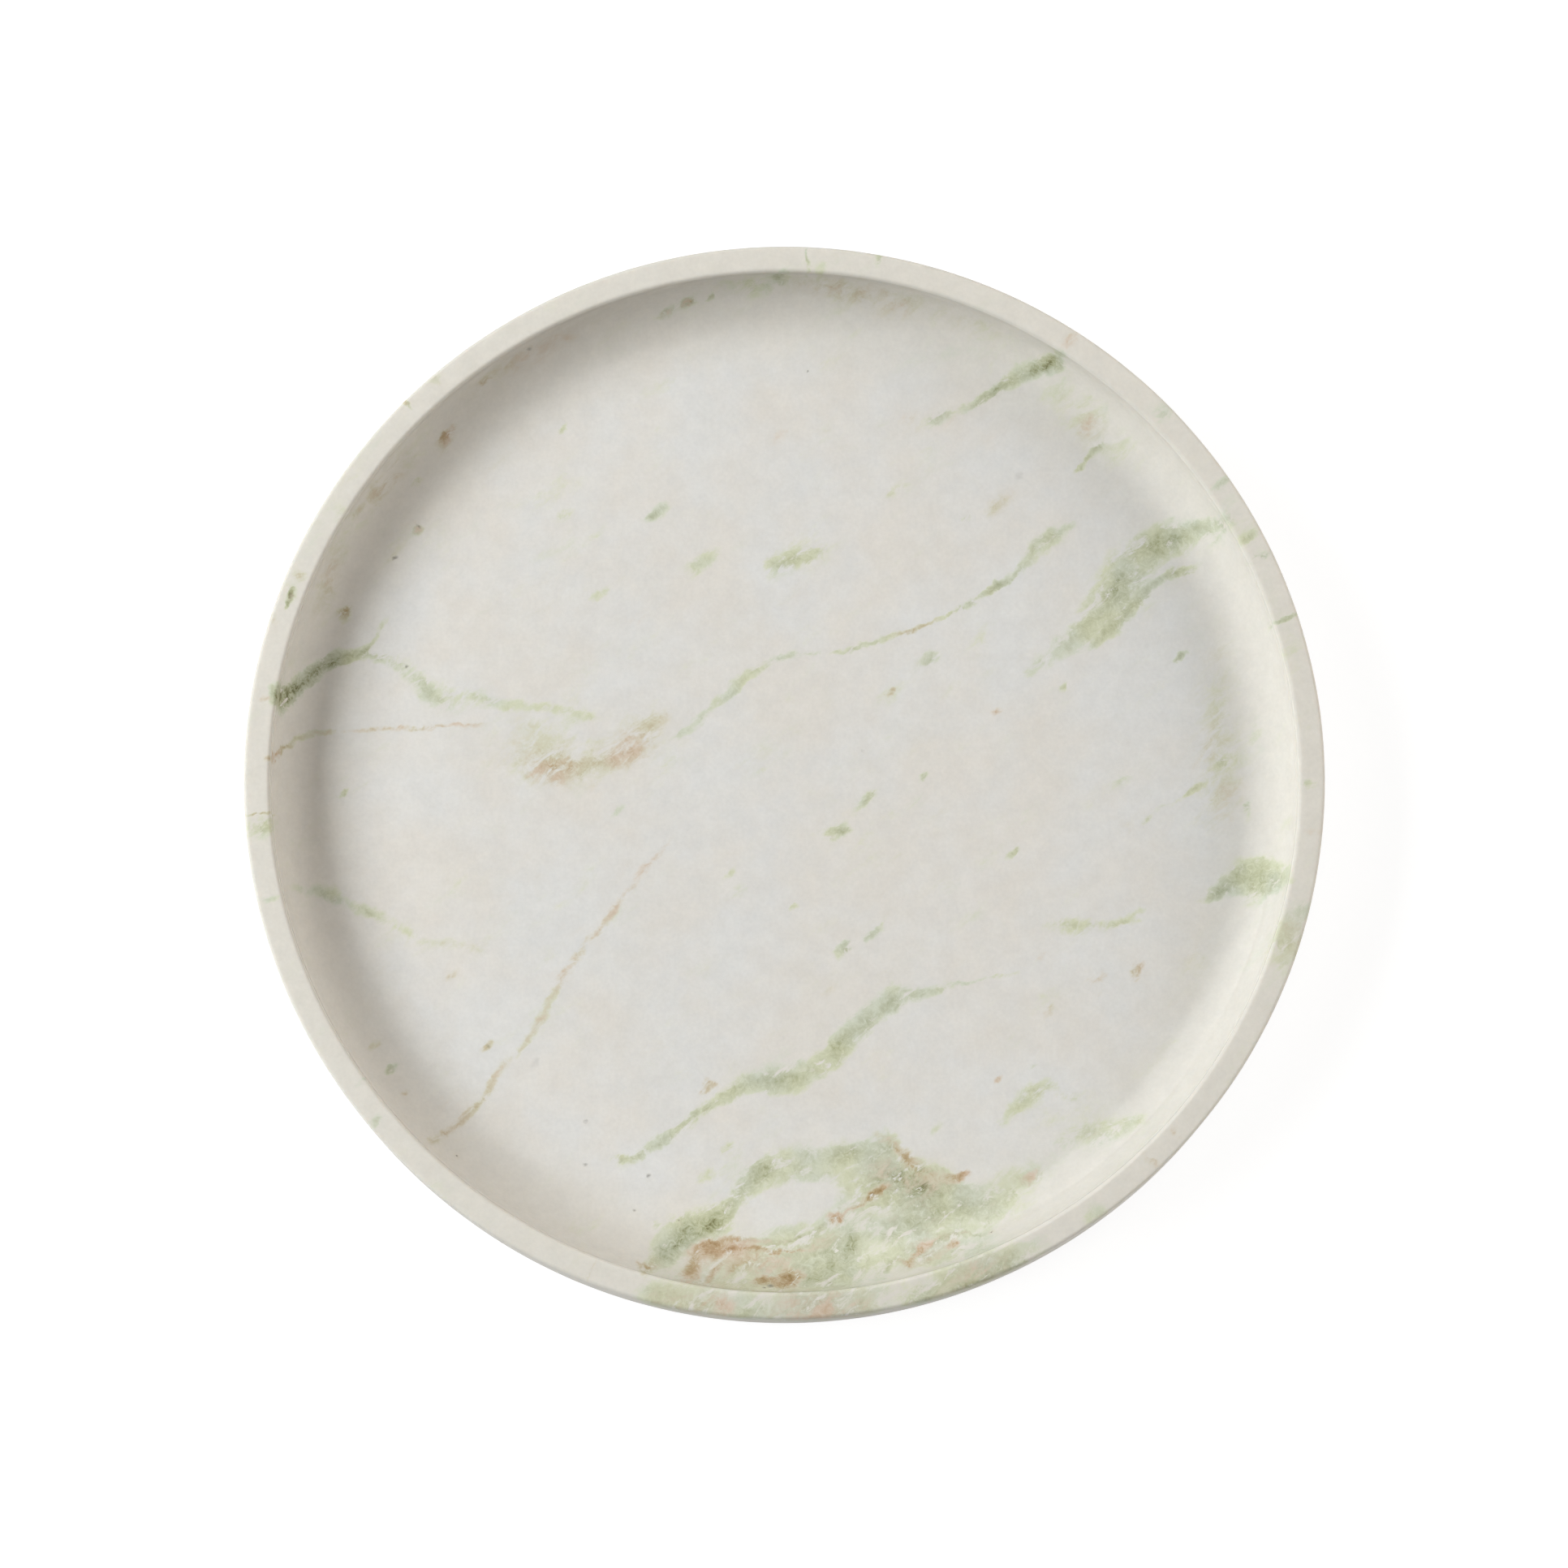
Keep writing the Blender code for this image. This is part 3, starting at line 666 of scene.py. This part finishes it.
def marble():
    """Polished marble: calcite sawn, turned and polished, so it shines softly, lets a little light in
    and shows its sugary grain, clouds, green serpentine veins and rust stains. Its creamier white up the
    cove and over the rim is painted glow, and a few bands along the cove are painted shade."""
    look = bpy.context.scene.tray_look
    material, tree, shader, plain = new_surface("polished_marble")
    height = add(tree, "SeparateXYZ", plain).outputs["Z"]
    dipped, spot = vein_places(tree, plain, height)
    totals = lay_minerals(tree, spot, height)

    # Pale haze along the strike, where a little green or rust lies spread through the calcite
    along = {"Rotation": (0.0, 0.0, STRIKE), "Scale": (HAZE_SLIMNESS, 1.0, HAZE_SLIMNESS)}
    strike = add(tree, "Mapping", dipped, named=along, **OWN_FRAME, label="haze along the strike")
    for mineral, (width_share, most) in HAZES.items():
        streaky = {"Detail": 5.0, "Roughness": 0.62}
        haze = clouds(tree, strike, look.haze_mm * width_share, HAZE_SPAN, (0.0, most), streaky)
        totals[mineral] = add(tree, "Math", haze, totals[mineral], operation="ADD")

    # Growth makes each mineral's edge ragged and leaves holes in it. Fibres and clots make it denser
    # or thinner
    fibrous = {"Detail": 4.0, "Roughness": 0.75, "Distortion": 1.2}
    fibres = clouds(tree, plain, look.fibre_mm, NOISE_SPAN, FIBRE_REACH, fibrous, clamp=False)
    lobed = {"Detail": 5.0, "Roughness": 0.7, "Distortion": 0.6}
    lobes = clouds(tree, strike, look.growth_mm, NOISE_SPAN, GROWTH_REACH, lobed, clamp=False)
    half_fibrous = add(tree, "Math", fibres, 0.5, 0.5, operation="MULTIPLY_ADD")
    growth = add(tree, "Math", lobes, half_fibrous, operation="MULTIPLY")
    clotted = {"Detail": 4.0, "Roughness": 0.7}
    clot_reach = [amount / DENSEST for amount in CLOT_REACH]
    clots = clouds(tree, dipped, look.clot_mm, NOISE_SPAN, clot_reach, clotted, clamp=False)
    density = add(tree, "Math", fibres, clots, operation="MULTIPLY")

    # Serpentine turns from grey green to yellow green, and rust from salmon to ochre
    hue = clouds(tree, dipped, look.hue_mm, HUE_SPAN)
    tints = {}
    for mineral, shades in TINTS.items():
        ends = dict(zip((MIX_A, MIX_B), map(linear, shades)))
        tints[mineral] = add(tree, "Mix", hue, named=ends, **COLOURS)

    # The white ground: cool and warm clouds, then the sugary grain of calcite
    warm = clouds(tree, plain, look.cloud_mm, WARM_SPAN, texture={"Detail": 4.0})
    grounds = {MIX_A: tuple(look.cool_white), MIX_B: tuple(look.warm_white)}
    colour = add(tree, "Mix", warm, named=grounds, **COLOURS)
    out = from_axis(tree, plain)
    # Up the cove and over the rim the ground turns creamier: painted glow that stands in for light
    # shining through the thin stone
    glow_from, glow_to = (FLOOR_RADIUS - GLOW_BAND) / MM, (WELL_RADIUS - GLOW_BAND / 2) / MM
    glow_share = add(tree, "MapRange", out, glow_from, glow_to)
    colour = add(tree, "Mix", glow_share, named={MIX_A: colour, MIX_B: tuple(look.painted_glow_white)}, **COLOURS)
    for size_mm, reach in ((look.mottle_mm, MOTTLE_REACH), (look.grain_mm, GRAIN_REACH)):
        light = clouds(tree, plain, size_mm, NOISE_SPAN, reach, {"Roughness": 0.6})
        colour = add(tree, "Mix", 1.0, named={MIX_A: colour, MIX_B: light}, **MULTIPLIED)
    for mineral in MINERALS:
        grown = add(tree, "Math", totals[mineral], growth, operation="MULTIPLY")
        cover = add(tree, "MapRange", grown, *COVER[mineral], **EASED)
        dense = add(tree, "Math", totals[mineral], density, operation="MULTIPLY")
        stops = [(amount / DENSEST, linear(shade)) for amount, shade in TONES[mineral]]
        tone = set_stops(add(tree, "ValToRGB", dense), stops)
        tinted = add(tree, "Mix", 1.0, named={MIX_A: tone, MIX_B: tints[mineral]}, **MULTIPLIED)
        colour = add(tree, "Mix", cover, named={MIX_A: colour, MIX_B: tinted}, **COLOURS)
    colour = add(tree, "Mix", totals["dark"], named={MIX_A: colour, MIX_B: linear(PYRITE)}, **COLOURS)

    # Softer minerals take less polish than the calcite, and the rim and the wall's outside are only
    # honed. Polishing by hand leaves the surface very slightly wavy
    honed = add(tree, "MapRange", out, (WELL_RADIUS + HONED_FROM) / MM, (WELL_RADIUS + HONED_TO) / MM,
                look.polish, look.honed)
    rough = add(tree, "Math", totals["green"], SOFTNESS_OF_GREEN, honed, operation="MULTIPLY_ADD")
    waves = {"Vector": plain, "Scale": 1 / look.wave_mm, "Detail": 1.0}
    wave = add(tree, "TexNoise", named=waves)
    bump = add(tree, "Bump", named={"Height": wave, "Strength": 1.0, "Distance": WAVE_HEIGHT})
    feed(shader, {"Base Color": colour, "Roughness": rough, "Normal": bump, "IOR": 1.5,
                  "Specular IOR Level": 0.32, "Subsurface Weight": 0.3,
                  "Subsurface Radius": (1.0, 0.85, 0.7), "Subsurface Scale": 2.0 * MM})
    return material


def wool_felt():
    """Wool felt, carded and pressed into a sheet: matt, mottled and slightly hairy."""
    material, tree, shader, plain = new_surface("pressed_wool_felt")
    hairs = {"Vector": plain, "Scale": 1 / FELT_FIBRE_MM, "Detail": 4.0, "Roughness": 0.7,
             "Distortion": 1.4}
    fibres = add(tree, "TexNoise", named=hairs)
    matting = add(tree, "TexNoise", named={"Vector": plain, "Scale": 1 / MATTING_MM, "Detail": 2.0})
    matted = add(tree, "Math", matting, 0.5, fibres, operation="MULTIPLY_ADD")
    shades = [(0.5, linear("#9C948A")), (0.75, linear("#B5AEA4")), (1.0, linear("#CCC6BC"))]
    tone = set_stops(add(tree, "ValToRGB", matted), shades)
    bump = add(tree, "Bump", named={"Height": fibres, "Strength": 0.6, "Distance": NAP_HEIGHT})
    feed(shader, {"Base Color": tone, "Normal": bump, "Roughness": 0.95, "IOR": 1.45,
                  "Sheen Weight": 0.35, "Sheen Roughness": 0.5})
    return material


def acrylic_film():
    """Acrylic adhesive, cast as a thin film: milky, smooth and faintly rippled where it was pressed."""
    material, tree, shader, plain = new_surface("cast_acrylic_film")
    ripple = add(tree, "TexNoise", named={"Vector": plain, "Scale": 1 / RIPPLE_MM, "Detail": 3.0})
    shades = [(0.35, linear("#DCD8CC")), (0.65, linear("#EAE6DA"))]
    tone = set_stops(add(tree, "ValToRGB", ripple), shades)
    shine = add(tree, "MapRange", ripple, 0.0, 1.0, *FILM_ROUGHNESS)
    feed(shader, {"Base Color": tone, "Roughness": shine, "IOR": 1.49})
    return material


def seen_directly(tree):
    """1 where the camera sees a surface, or sees it in a shiny or clear one, and 0 elsewhere."""
    path = add(tree, "LightPath")
    seen = path.outputs["Is Camera Ray"]
    for ray in ("Is Glossy Ray", "Is Transmission Ray"):
        seen = add(tree, "Math", seen, path.outputs[ray], operation="MAXIMUM")
    return seen


def studio_floor():
    """Matt painted board. The camera sees it a little under white in the tray's shadow and white
    elsewhere."""
    material = bpy.data.materials.new("matt_white_board")
    material.use_nodes = True
    tree = material.node_tree
    tree.nodes.remove(tree.nodes["Principled BSDF"])
    board = add(tree, "BsdfDiffuse", linear(BOARD))
    shade = add(tree, "BsdfDiffuse", linear(BOARD_SEEN))
    glow = add(tree, "Emission", named={"Strength": BOARD_GLOW})
    bright = add(tree, "AddShader", shade, glow)
    both = add(tree, "MixShader", seen_directly(tree), board, bright)
    feed(tree.nodes["Material Output"], {"Surface": both})
    return material


# The pieces


def round_axis(radius, turn, height):
    """The point at one radius and turn about the tray's axis and one height."""
    return Vector((radius * math.cos(turn), radius * math.sin(turn), height))


def arc_points(centre, radius, start, end, steps):
    """Points of an arc in the half section, both ends included, from one angle in degrees to another."""
    angles = [math.radians(start + (end - start) * step / steps) for step in range(steps + 1)]
    return [(centre[0] + radius * math.cos(a), centre[1] + radius * math.sin(a)) for a in angles]


def stone_section(look):
    """Half section of the stone from the floor's middle, over the rim, to the base's middle."""
    inner_end = WELL_RADIUS + look.inner_round
    outer_round = TRAY_RADIUS - RIM_FLAT_OUTER
    base_round = TRAY_RADIUS - BASE_FLAT_RADIUS
    rings = look.flat_rings
    steps = look.round_steps
    floor = [(FLOOR_RADIUS * k / rings, FLOOR_TOP) for k in range(1, rings)]
    cove = arc_points((FLOOR_RADIUS, FLOOR_TOP + COVE_RADIUS), COVE_RADIUS, -90, 0, look.cove_steps)
    inner = arc_points((inner_end, RIM_TOP - look.inner_round), look.inner_round, 180, 90, steps)
    lean = math.degrees(look.crown)
    crown_radius = (RIM_FLAT_OUTER - inner_end) / math.sin(look.crown)
    crown = arc_points((inner_end, RIM_TOP - crown_radius), crown_radius, 90, 90 - lean, CROWN_STEPS)[1:]
    outer_round /= 1 - math.sin(look.crown)
    wall_top = crown[-1][1] - outer_round * math.cos(look.crown)
    outer = arc_points((TRAY_RADIUS - outer_round, wall_top), outer_round, 90 - lean, 0, steps)[1:]
    wall_low = STONE_BASE + base_round
    wall_drop = wall_low - wall_top
    wall = [(TRAY_RADIUS, wall_top + wall_drop * k / WALL_STEPS) for k in range(1, WALL_STEPS)]
    under = arc_points((BASE_FLAT_RADIUS, wall_low), base_round, 0, -90, steps)
    base = [(BASE_FLAT_RADIUS * (1 - k / rings), STONE_BASE) for k in range(1, rings)]
    return floor + cove + inner + crown + outer + wall + under + base


def turned_shape(section, segments, low_middle, high_middle, shape):
    """Points and faces of a half section that is turned about Z and closed on the axis. shape moves
    each point a little."""
    vertices = [Vector((0.0, 0.0, high_middle))]
    for radius, height in section:
        vertices += [shape(radius, height, 2 * math.pi * k / segments) for k in range(segments)]
    vertices.append(Vector((0.0, 0.0, low_middle)))
    last = len(vertices) - 1
    faces = []
    for k in range(segments):
        following = (k + 1) % segments
        faces.append((0, 1 + k, 1 + following))
        for ring in range(len(section) - 1):
            near = 1 + ring * segments
            far = near + segments
            faces.append((near + k, far + k, far + following, near + following))
        end = 1 + (len(section) - 1) * segments
        faces.append((end + k, last, end + following))
    return vertices, faces


def smooth_mesh(name, vertices, faces):
    """A smoothly shaded mesh."""
    mesh = bpy.data.meshes.new(name)
    mesh.from_pydata(vertices, [], faces)
    mesh.validate()
    mesh.shade_smooth()
    return mesh


def hand_finished(radius, height, turn):
    """A point of the stone. Polishing by hand leaves the outside a little shy of the turned shape."""
    direction = round_axis(1.0, turn, 0.0)
    if radius > RIM_MIDDLE:
        slow, quick = (noise.noise(direction * often) for often in (SLOW_WANDER, QUICK_WANDER))
        wander = (slow + QUICK_SHARE * quick + 1.0) / (2 + QUICK_SHARE)
        radius -= bpy.context.scene.tray_look.hand_finish * min(max(wander, 0.0), 1.0)
    return direction * radius + Vector((0.0, 0.0, height))


def loose_fibre(draw, look, radius, low, high):
    """The seven points of a three-sided fibre that stands out from a pad's edge and bends."""
    turn = draw.uniform(0, 2 * math.pi)
    start = round_axis(radius, turn, draw.uniform(low, high))
    away = Vector((math.cos(turn + draw.uniform(-FIBRE_STRAY, FIBRE_STRAY)),
                   math.sin(turn + draw.uniform(-FIBRE_STRAY, FIBRE_STRAY)),
                   draw.uniform(-FIBRE_RISE, FIBRE_RISE)))
    length = look.fibre_length * draw.uniform(FIBRE_SHORTEST, FIBRE_LONGEST)
    side = Vector((-math.sin(turn), math.cos(turn), 0.0)) * FIBRE_HALF_WIDTH
    ring = (-side, side, Vector((0.0, 0.0, FIBRE_DEPTH)))
    bend = away * length * FIBRE_BENDS_AT
    bend.z += draw.uniform(-FIBRE_BEND, FIBRE_BEND)
    root = [start + corner for corner in ring]
    return root + [start + bend + corner * FIBRE_TAPER for corner in ring] + [start + away * length]


def felt_mesh(name, look, radius, low, high):
    """A die-cut disc of felt: its faces nap a little, its edge is crushed round and fibres stand out."""
    crush = (high - low) * PAD_CRUSH
    top = [(radius * k / PAD_RINGS, high) for k in range(1, PAD_RINGS)]
    top += arc_points((radius - crush, high - crush), crush, 90, 0, PAD_EDGE_STEPS)
    edge = [(radius, high + (low - high) * share) for share in PAD_EDGE_SHARES]
    bottom = arc_points((radius - crush, low + crush), crush, 0, -90, PAD_EDGE_STEPS)
    bottom += [(radius * (1 - k / PAD_RINGS), low) for k in range(1, PAD_RINGS)]
    section = [p for p in top + edge + bottom if p[0] <= radius]

    def napped(ring_radius, height, turn):
        point = round_axis(ring_radius, turn, height)
        rise = look.nap * (1 + noise.noise(point / NAP_SPACING)) / 2
        point.z += rise if height < (low + high) / 2 else -rise
        return point

    vertices, faces = turned_shape(section, look.segments, low, high, napped)
    draw = random.Random(name)
    for _ in range(look.fibres):
        first = len(vertices)
        vertices += loose_fibre(draw, look, radius - crush / 2, low + crush, high - crush)
        for a, b in ((0, 1), (1, 2), (2, 0)):
            faces.append((first + a, first + b, first + 3 + b, first + 3 + a))
            faces.append((first + 3 + a, first + 3 + b, first + 6))
        faces.append((first, first + 2, first + 1))
    return smooth_mesh(f"{name}_cut", vertices, faces)


def show(name, data):
    """Adds an object to the scene."""
    thing = bpy.data.objects.new(name, data)
    bpy.context.scene.collection.objects.link(thing)
    return thing


def place_piece(name, mesh, material, node):
    """Shows a piece in place of its CAD node."""
    piece = show(name, mesh)
    mesh.materials.append(material)
    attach(piece, BODY)
    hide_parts(node)
    return piece


class TrayLook(bpy.types.PropertyGroup):
    """What a user may change about the tray's looks."""

    cool_white: bpy.props.FloatVectorProperty(
        name="Cool white", description="Marble where its ground is coolest", subtype="COLOR", size=4,
        min=0.0, max=1.0, default=linear("#DDDCDB"))
    warm_white: bpy.props.FloatVectorProperty(
        name="Warm white", description="Marble where its ground is warmest", subtype="COLOR", size=4,
        min=0.0, max=1.0, default=linear("#DEDAD5"))
    # Painted glow: the creamier white up the cove and over the rim stands in for light shining through
    # the thin stone
    painted_glow_white: bpy.props.FloatVectorProperty(
        name="Wall white", description="Marble up the cove and over the rim, where it is creamier",
        subtype="COLOR", size=4, min=0.0, max=1.0, default=linear("#DEDAD3"))
    cloud_mm: bpy.props.FloatProperty(
        name="Clouds (mm)", description="Width of a warm or cool cloud", default=22.0, min=1.0)
    haze_mm: bpy.props.FloatProperty(
        name="Haze (mm)", description="Width of a streak of thin green", default=9.0, min=1.0)
    mottle_mm: bpy.props.FloatProperty(
        name="Mottling (mm)", description="Width of a lighter or darker spot", default=5.0, min=0.5)
    grain_mm: bpy.props.FloatProperty(
        name="Grain (mm)", description="Width of a calcite crystal", default=1.1, min=0.1)
    clot_mm: bpy.props.FloatProperty(
        name="Clots (mm)", description="Width of a darker clot in a vein", default=4.5, min=0.5)
    hue_mm: bpy.props.FloatProperty(
        name="Hues (mm)", description="How far it is from grey green to yellow green",
        default=14.0, min=1.0)
    growth_mm: bpy.props.FloatProperty(
        name="Growth (mm)", description="Size of the lobes and holes that a mineral grew with",
        default=3.4, min=0.5)
    fibre_mm: bpy.props.FloatProperty(
        name="Fibres (mm)", description="Spacing of the fibres in the green veins", default=2.4, min=0.1)
    wave_mm: bpy.props.FloatProperty(
        name="Waviness (mm)", description="Length of the waves that polishing leaves",
        default=14.0, min=1.0)
    polish: bpy.props.FloatProperty(
        name="Polish", description="Roughness of the polished stone", subtype="FACTOR", default=0.06,
        min=0.0, max=1.0)
    honed: bpy.props.FloatProperty(
        name="Honing", description="Roughness of the rim and the wall's outside", subtype="FACTOR",
        default=0.7, min=0.0, max=1.0)
    inner_round: bpy.props.FloatProperty(
        name="Inner round", description="Round that polishing left between the well and the rim",
        unit="LENGTH", default=1.2 * MM, min=0.1 * MM)
    crown: bpy.props.FloatProperty(
        name="Crown", description="Lean of the rim's top where it meets the outer round",
        subtype="ANGLE", default=math.radians(1.5), min=math.radians(1.0), max=math.radians(40.0))
    hand_finish: bpy.props.FloatProperty(
        name="Hand finish", description="Most that polishing took off the outside", unit="LENGTH",
        default=0.15 * MM, min=0.0)
    segments: bpy.props.IntProperty(
        name="Segments", description="Facets round the tray", default=480, min=32)
    flat_rings: bpy.props.IntProperty(
        name="Floor rings", description="Rings across the floor", default=14, min=2)
    cove_steps: bpy.props.IntProperty(
        name="Cove steps", description="Facets up the cove", default=20, min=4)
    round_steps: bpy.props.IntProperty(
        name="Round steps", description="Facets of a rounded edge", default=7, min=2)


class PadLook(bpy.types.PropertyGroup):
    """What a user may change about the felt pads."""

    segments: bpy.props.IntProperty(
        name="Segments", description="Facets round a pad", default=96, min=16)
    fill: bpy.props.FloatProperty(
        name="Fill", description="How tight the felt is, from slack to pressed hard", subtype="FACTOR",
        default=1.0, min=0.0, max=1.0)
    nap: bpy.props.FloatProperty(
        name="Nap", description="How far the felt's surface rises and falls", unit="LENGTH",
        default=0.05 * MM, min=0.0)
    fibres: bpy.props.IntProperty(
        name="Fibres", description="Loose fibres at a pad's cut edge", default=70, min=0)
    fibre_length: bpy.props.FloatProperty(
        name="Fibre length", description="Longest loose fibre", unit="LENGTH", default=0.9 * MM, min=0.0)


class StageLook(bpy.types.PropertyGroup):
    """What a user may change about the floor and the light."""

    floor_size: bpy.props.FloatProperty(
        name="Floor", description="Width of the floor", unit="LENGTH", default=6.0, min=1.0)
    key_power: bpy.props.FloatProperty(
        name="Key light", description="Power of the soft light from the left", unit="POWER",
        default=98.0, min=0.0)
    fill_power: bpy.props.FloatProperty(
        name="Fill light", description="Power of the low soft light from the right", unit="POWER",
        default=37.0, min=0.0)
    window_power: bpy.props.FloatProperty(
        name="Window light", description="Power of the panel that the polish reflects", unit="POWER",
        default=8.5, min=0.0)
    strip_power: bpy.props.FloatProperty(
        name="Low strip",
        description="Power of the strip beside the floor that lights the wall's outside",
        unit="POWER", default=0.35, min=0.0)
    room: bpy.props.FloatProperty(
        name="Room", description="Level of the light from all round", default=0.03, min=0.0)


class TRAY_OT_stone(bpy.types.Operator):
    """Turns the marble body with its cove, rim and veins"""

    bl_idname = "tray.stone"
    bl_label = "Turn Stone"

    def execute(self, context):
        look = context.scene.tray_look
        section = stone_section(look)
        shape = turned_shape(section, look.segments, STONE_BASE, FLOOR_TOP, hand_finished)
        place_piece("stone_tray", smooth_mesh("stone_tray", *shape), marble(), "stone_body")
        return {"FINISHED"}


class TRAY_OT_pads(bpy.types.Operator):
    """Cuts the felt pads and raises the loose fibres at their edges"""

    bl_idname = "tray.pads"
    bl_label = "Cut Felt Pads"

    def execute(self, context):
        look = context.scene.pad_look
        felt = wool_felt()
        for node in sorted(n for n in frame["nodes"] if n.startswith("felt_pad")):
            low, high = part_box(node)
            middle = (low + high) / 2
            radius = (high.x - low.x) / 2 - look.fibre_length
            mesh = felt_mesh(node, look, radius, low.z, high.z)
            mesh.transform(Matrix.Translation((middle.x, middle.y, 0.0)))
            pad = place_piece(f"{node}_cut", mesh, felt, node)
        return {"FINISHED"}


class TRAY_OT_films(bpy.types.Operator):
    """Gives the adhesive films their milky acrylic"""

    bl_idname = "tray.films"
    bl_label = "Finish Films"

    def execute(self, context):
        film = acrylic_film()
        for name, node in frame["nodes"].items():
            if name.startswith("adhesive_film"):
                node.data.materials.clear()
                node.data.materials.append(film)
        return {"FINISHED"}


# The stage

# Lights: the setting that holds the power, width and height in metres, degrees round from the
# photograph's right and degrees up, distance in metres, colour, and where the light isn't seen
LIGHTS = {
    "key_softbox": {
        "power": "key_power", "size": (3.05, 1.29), "azimuth": 174.0, "elevation": 40.0, "distance": 2.7,
        "colour": "#FCFFFE", "hidden": "visible_glossy"},
    "fill_softbox": {
        "power": "fill_power", "size": (2.6, 1.2), "azimuth": 17.0, "elevation": 25.0, "distance": 2.3,
        "colour": "#FFFBF4", "hidden": "visible_glossy"},
    "window_panel": {
        "power": "window_power", "size": (1.1, 2.1), "azimuth": 129.8, "elevation": 31.9,
        "distance": 1.5, "roll": 27.5, "aim": on_stone(*WINDOW_GLINT_PX), "hidden": "visible_diffuse"},
    "low_strip": {
        "power": "strip_power", "size": (1.0, RIM_TOP), "azimuth": 316.0, "elevation": 0.0,
        "distance": 0.5, "aim": Vector((0.0, 0.0, RIM_TOP / 2)), "hidden": "visible_glossy"},
}


def area_light(name, power, size, azimuth, elevation, distance, hidden, roll=0.0, aim=Vector(),
               colour="#FFFFFF"):
    """A soft rectangular light that faces the tray."""
    lamp = bpy.data.lights.new(name, "AREA")
    lamp.shape = "RECTANGLE"
    lamp.size, lamp.size_y = size
    lamp.energy = getattr(bpy.context.scene.stage_look, power)
    lamp.color = linear(colour)[:3]
    light = show(name, lamp)
    lean = math.radians(elevation)
    way = round_axis(math.cos(lean), math.radians(azimuth), math.sin(lean))
    light.location = aim + way * distance
    facing = way.to_track_quat("Z", "Y") @ Quaternion((0.0, 0.0, 1.0), math.radians(roll))
    light.rotation_euler = facing.to_euler()
    setattr(light, hidden, False)


class TRAY_OT_stage(bpy.types.Operator):
    """Lays the floor, lights the tray and sets the camera"""

    bl_idname = "tray.stage"
    bl_label = "Set Stage"

    def execute(self, context):
        scene = context.scene
        look = scene.stage_look
        half = look.floor_size / 2
        corners = [(-half, -half, 0), (half, -half, 0), (half, half, 0), (-half, half, 0)]
        mesh = bpy.data.meshes.new("floor")
        mesh.from_pydata(corners, [], [(0, 1, 2, 3)])
        mesh.materials.append(studio_floor())
        floor = show("floor", mesh)

        for name, light in LIGHTS.items():
            area_light(name, **light)

        world = bpy.data.worlds.new("white_studio")
        world.use_nodes = True
        tree = world.node_tree
        seen = seen_directly(tree)
        level = add(tree, "MapRange", seen, 0.0, 1.0, look.room, 1.0)
        tints = {MIX_A: linear(ROOM_TINT), MIX_B: linear("#FFFFFF")}
        tint = add(tree, "Mix", seen, named=tints, **COLOURS)
        feed(tree.nodes["Background"], {"Color": tint, "Strength": level})
        scene.world = world

        place, forward, up = camera_axes()
        camera_data = bpy.data.cameras.new("photo_camera")
        camera_data.sensor_width = SENSOR_WIDTH_MM
        camera_data.lens = SENSOR_WIDTH_MM * CAMERA_DISTANCE * PX_PER_METRE / PHOTO_PX
        camera_data.clip_end = CAMERA_REACH
        camera = show("photo_camera", camera_data)
        axes = Matrix((forward.cross(up), up, -forward)).transposed()
        camera.matrix_world = Matrix.Translation(place) @ axes.to_4x4()
        scene.camera = camera
        scene.view_settings.view_transform = "Standard"
        return {"FINISHED"}


class TRAY_PT_panel(bpy.types.Panel):
    """The tray's settings and the steps that make it"""

    bl_label = "Marble Tray"
    bl_idname = "TRAY_PT_panel"
    bl_space_type = "VIEW_3D"
    bl_region_type = "UI"
    bl_category = "Tray"

    def draw(self, context):
        for look in (context.scene.tray_look, context.scene.pad_look, context.scene.stage_look):
            column = self.layout.column(align=True)
            for name in look.__annotations__:
                column.prop(look, name)
        for operator in OPERATORS:
            self.layout.operator(operator.bl_idname)


LOOKS = {"tray_look": TrayLook, "pad_look": PadLook, "stage_look": StageLook}
OPERATORS = (TRAY_OT_stone, TRAY_OT_pads, TRAY_OT_films, TRAY_OT_stage)


def register():
    """Adds the settings, the operators and the panel to Blender."""
    for group in LOOKS.values():
        bpy.utils.register_class(group)
    for name, group in LOOKS.items():
        setattr(bpy.types.Scene, name, bpy.props.PointerProperty(type=group))
    for thing in (*OPERATORS, TRAY_PT_panel):
        bpy.utils.register_class(thing)


def unregister():
    """Takes them out again."""
    for thing in (TRAY_PT_panel, *reversed(OPERATORS)):
        bpy.utils.unregister_class(thing)
    for name, group in LOOKS.items():
        delattr(bpy.types.Scene, name)
        bpy.utils.unregister_class(group)


def main():
    register()
    bpy.ops.tray.stone()
    bpy.ops.tray.pads()
    bpy.ops.tray.films()
    bpy.ops.tray.stage()


if __name__ == "__main__":
    main()
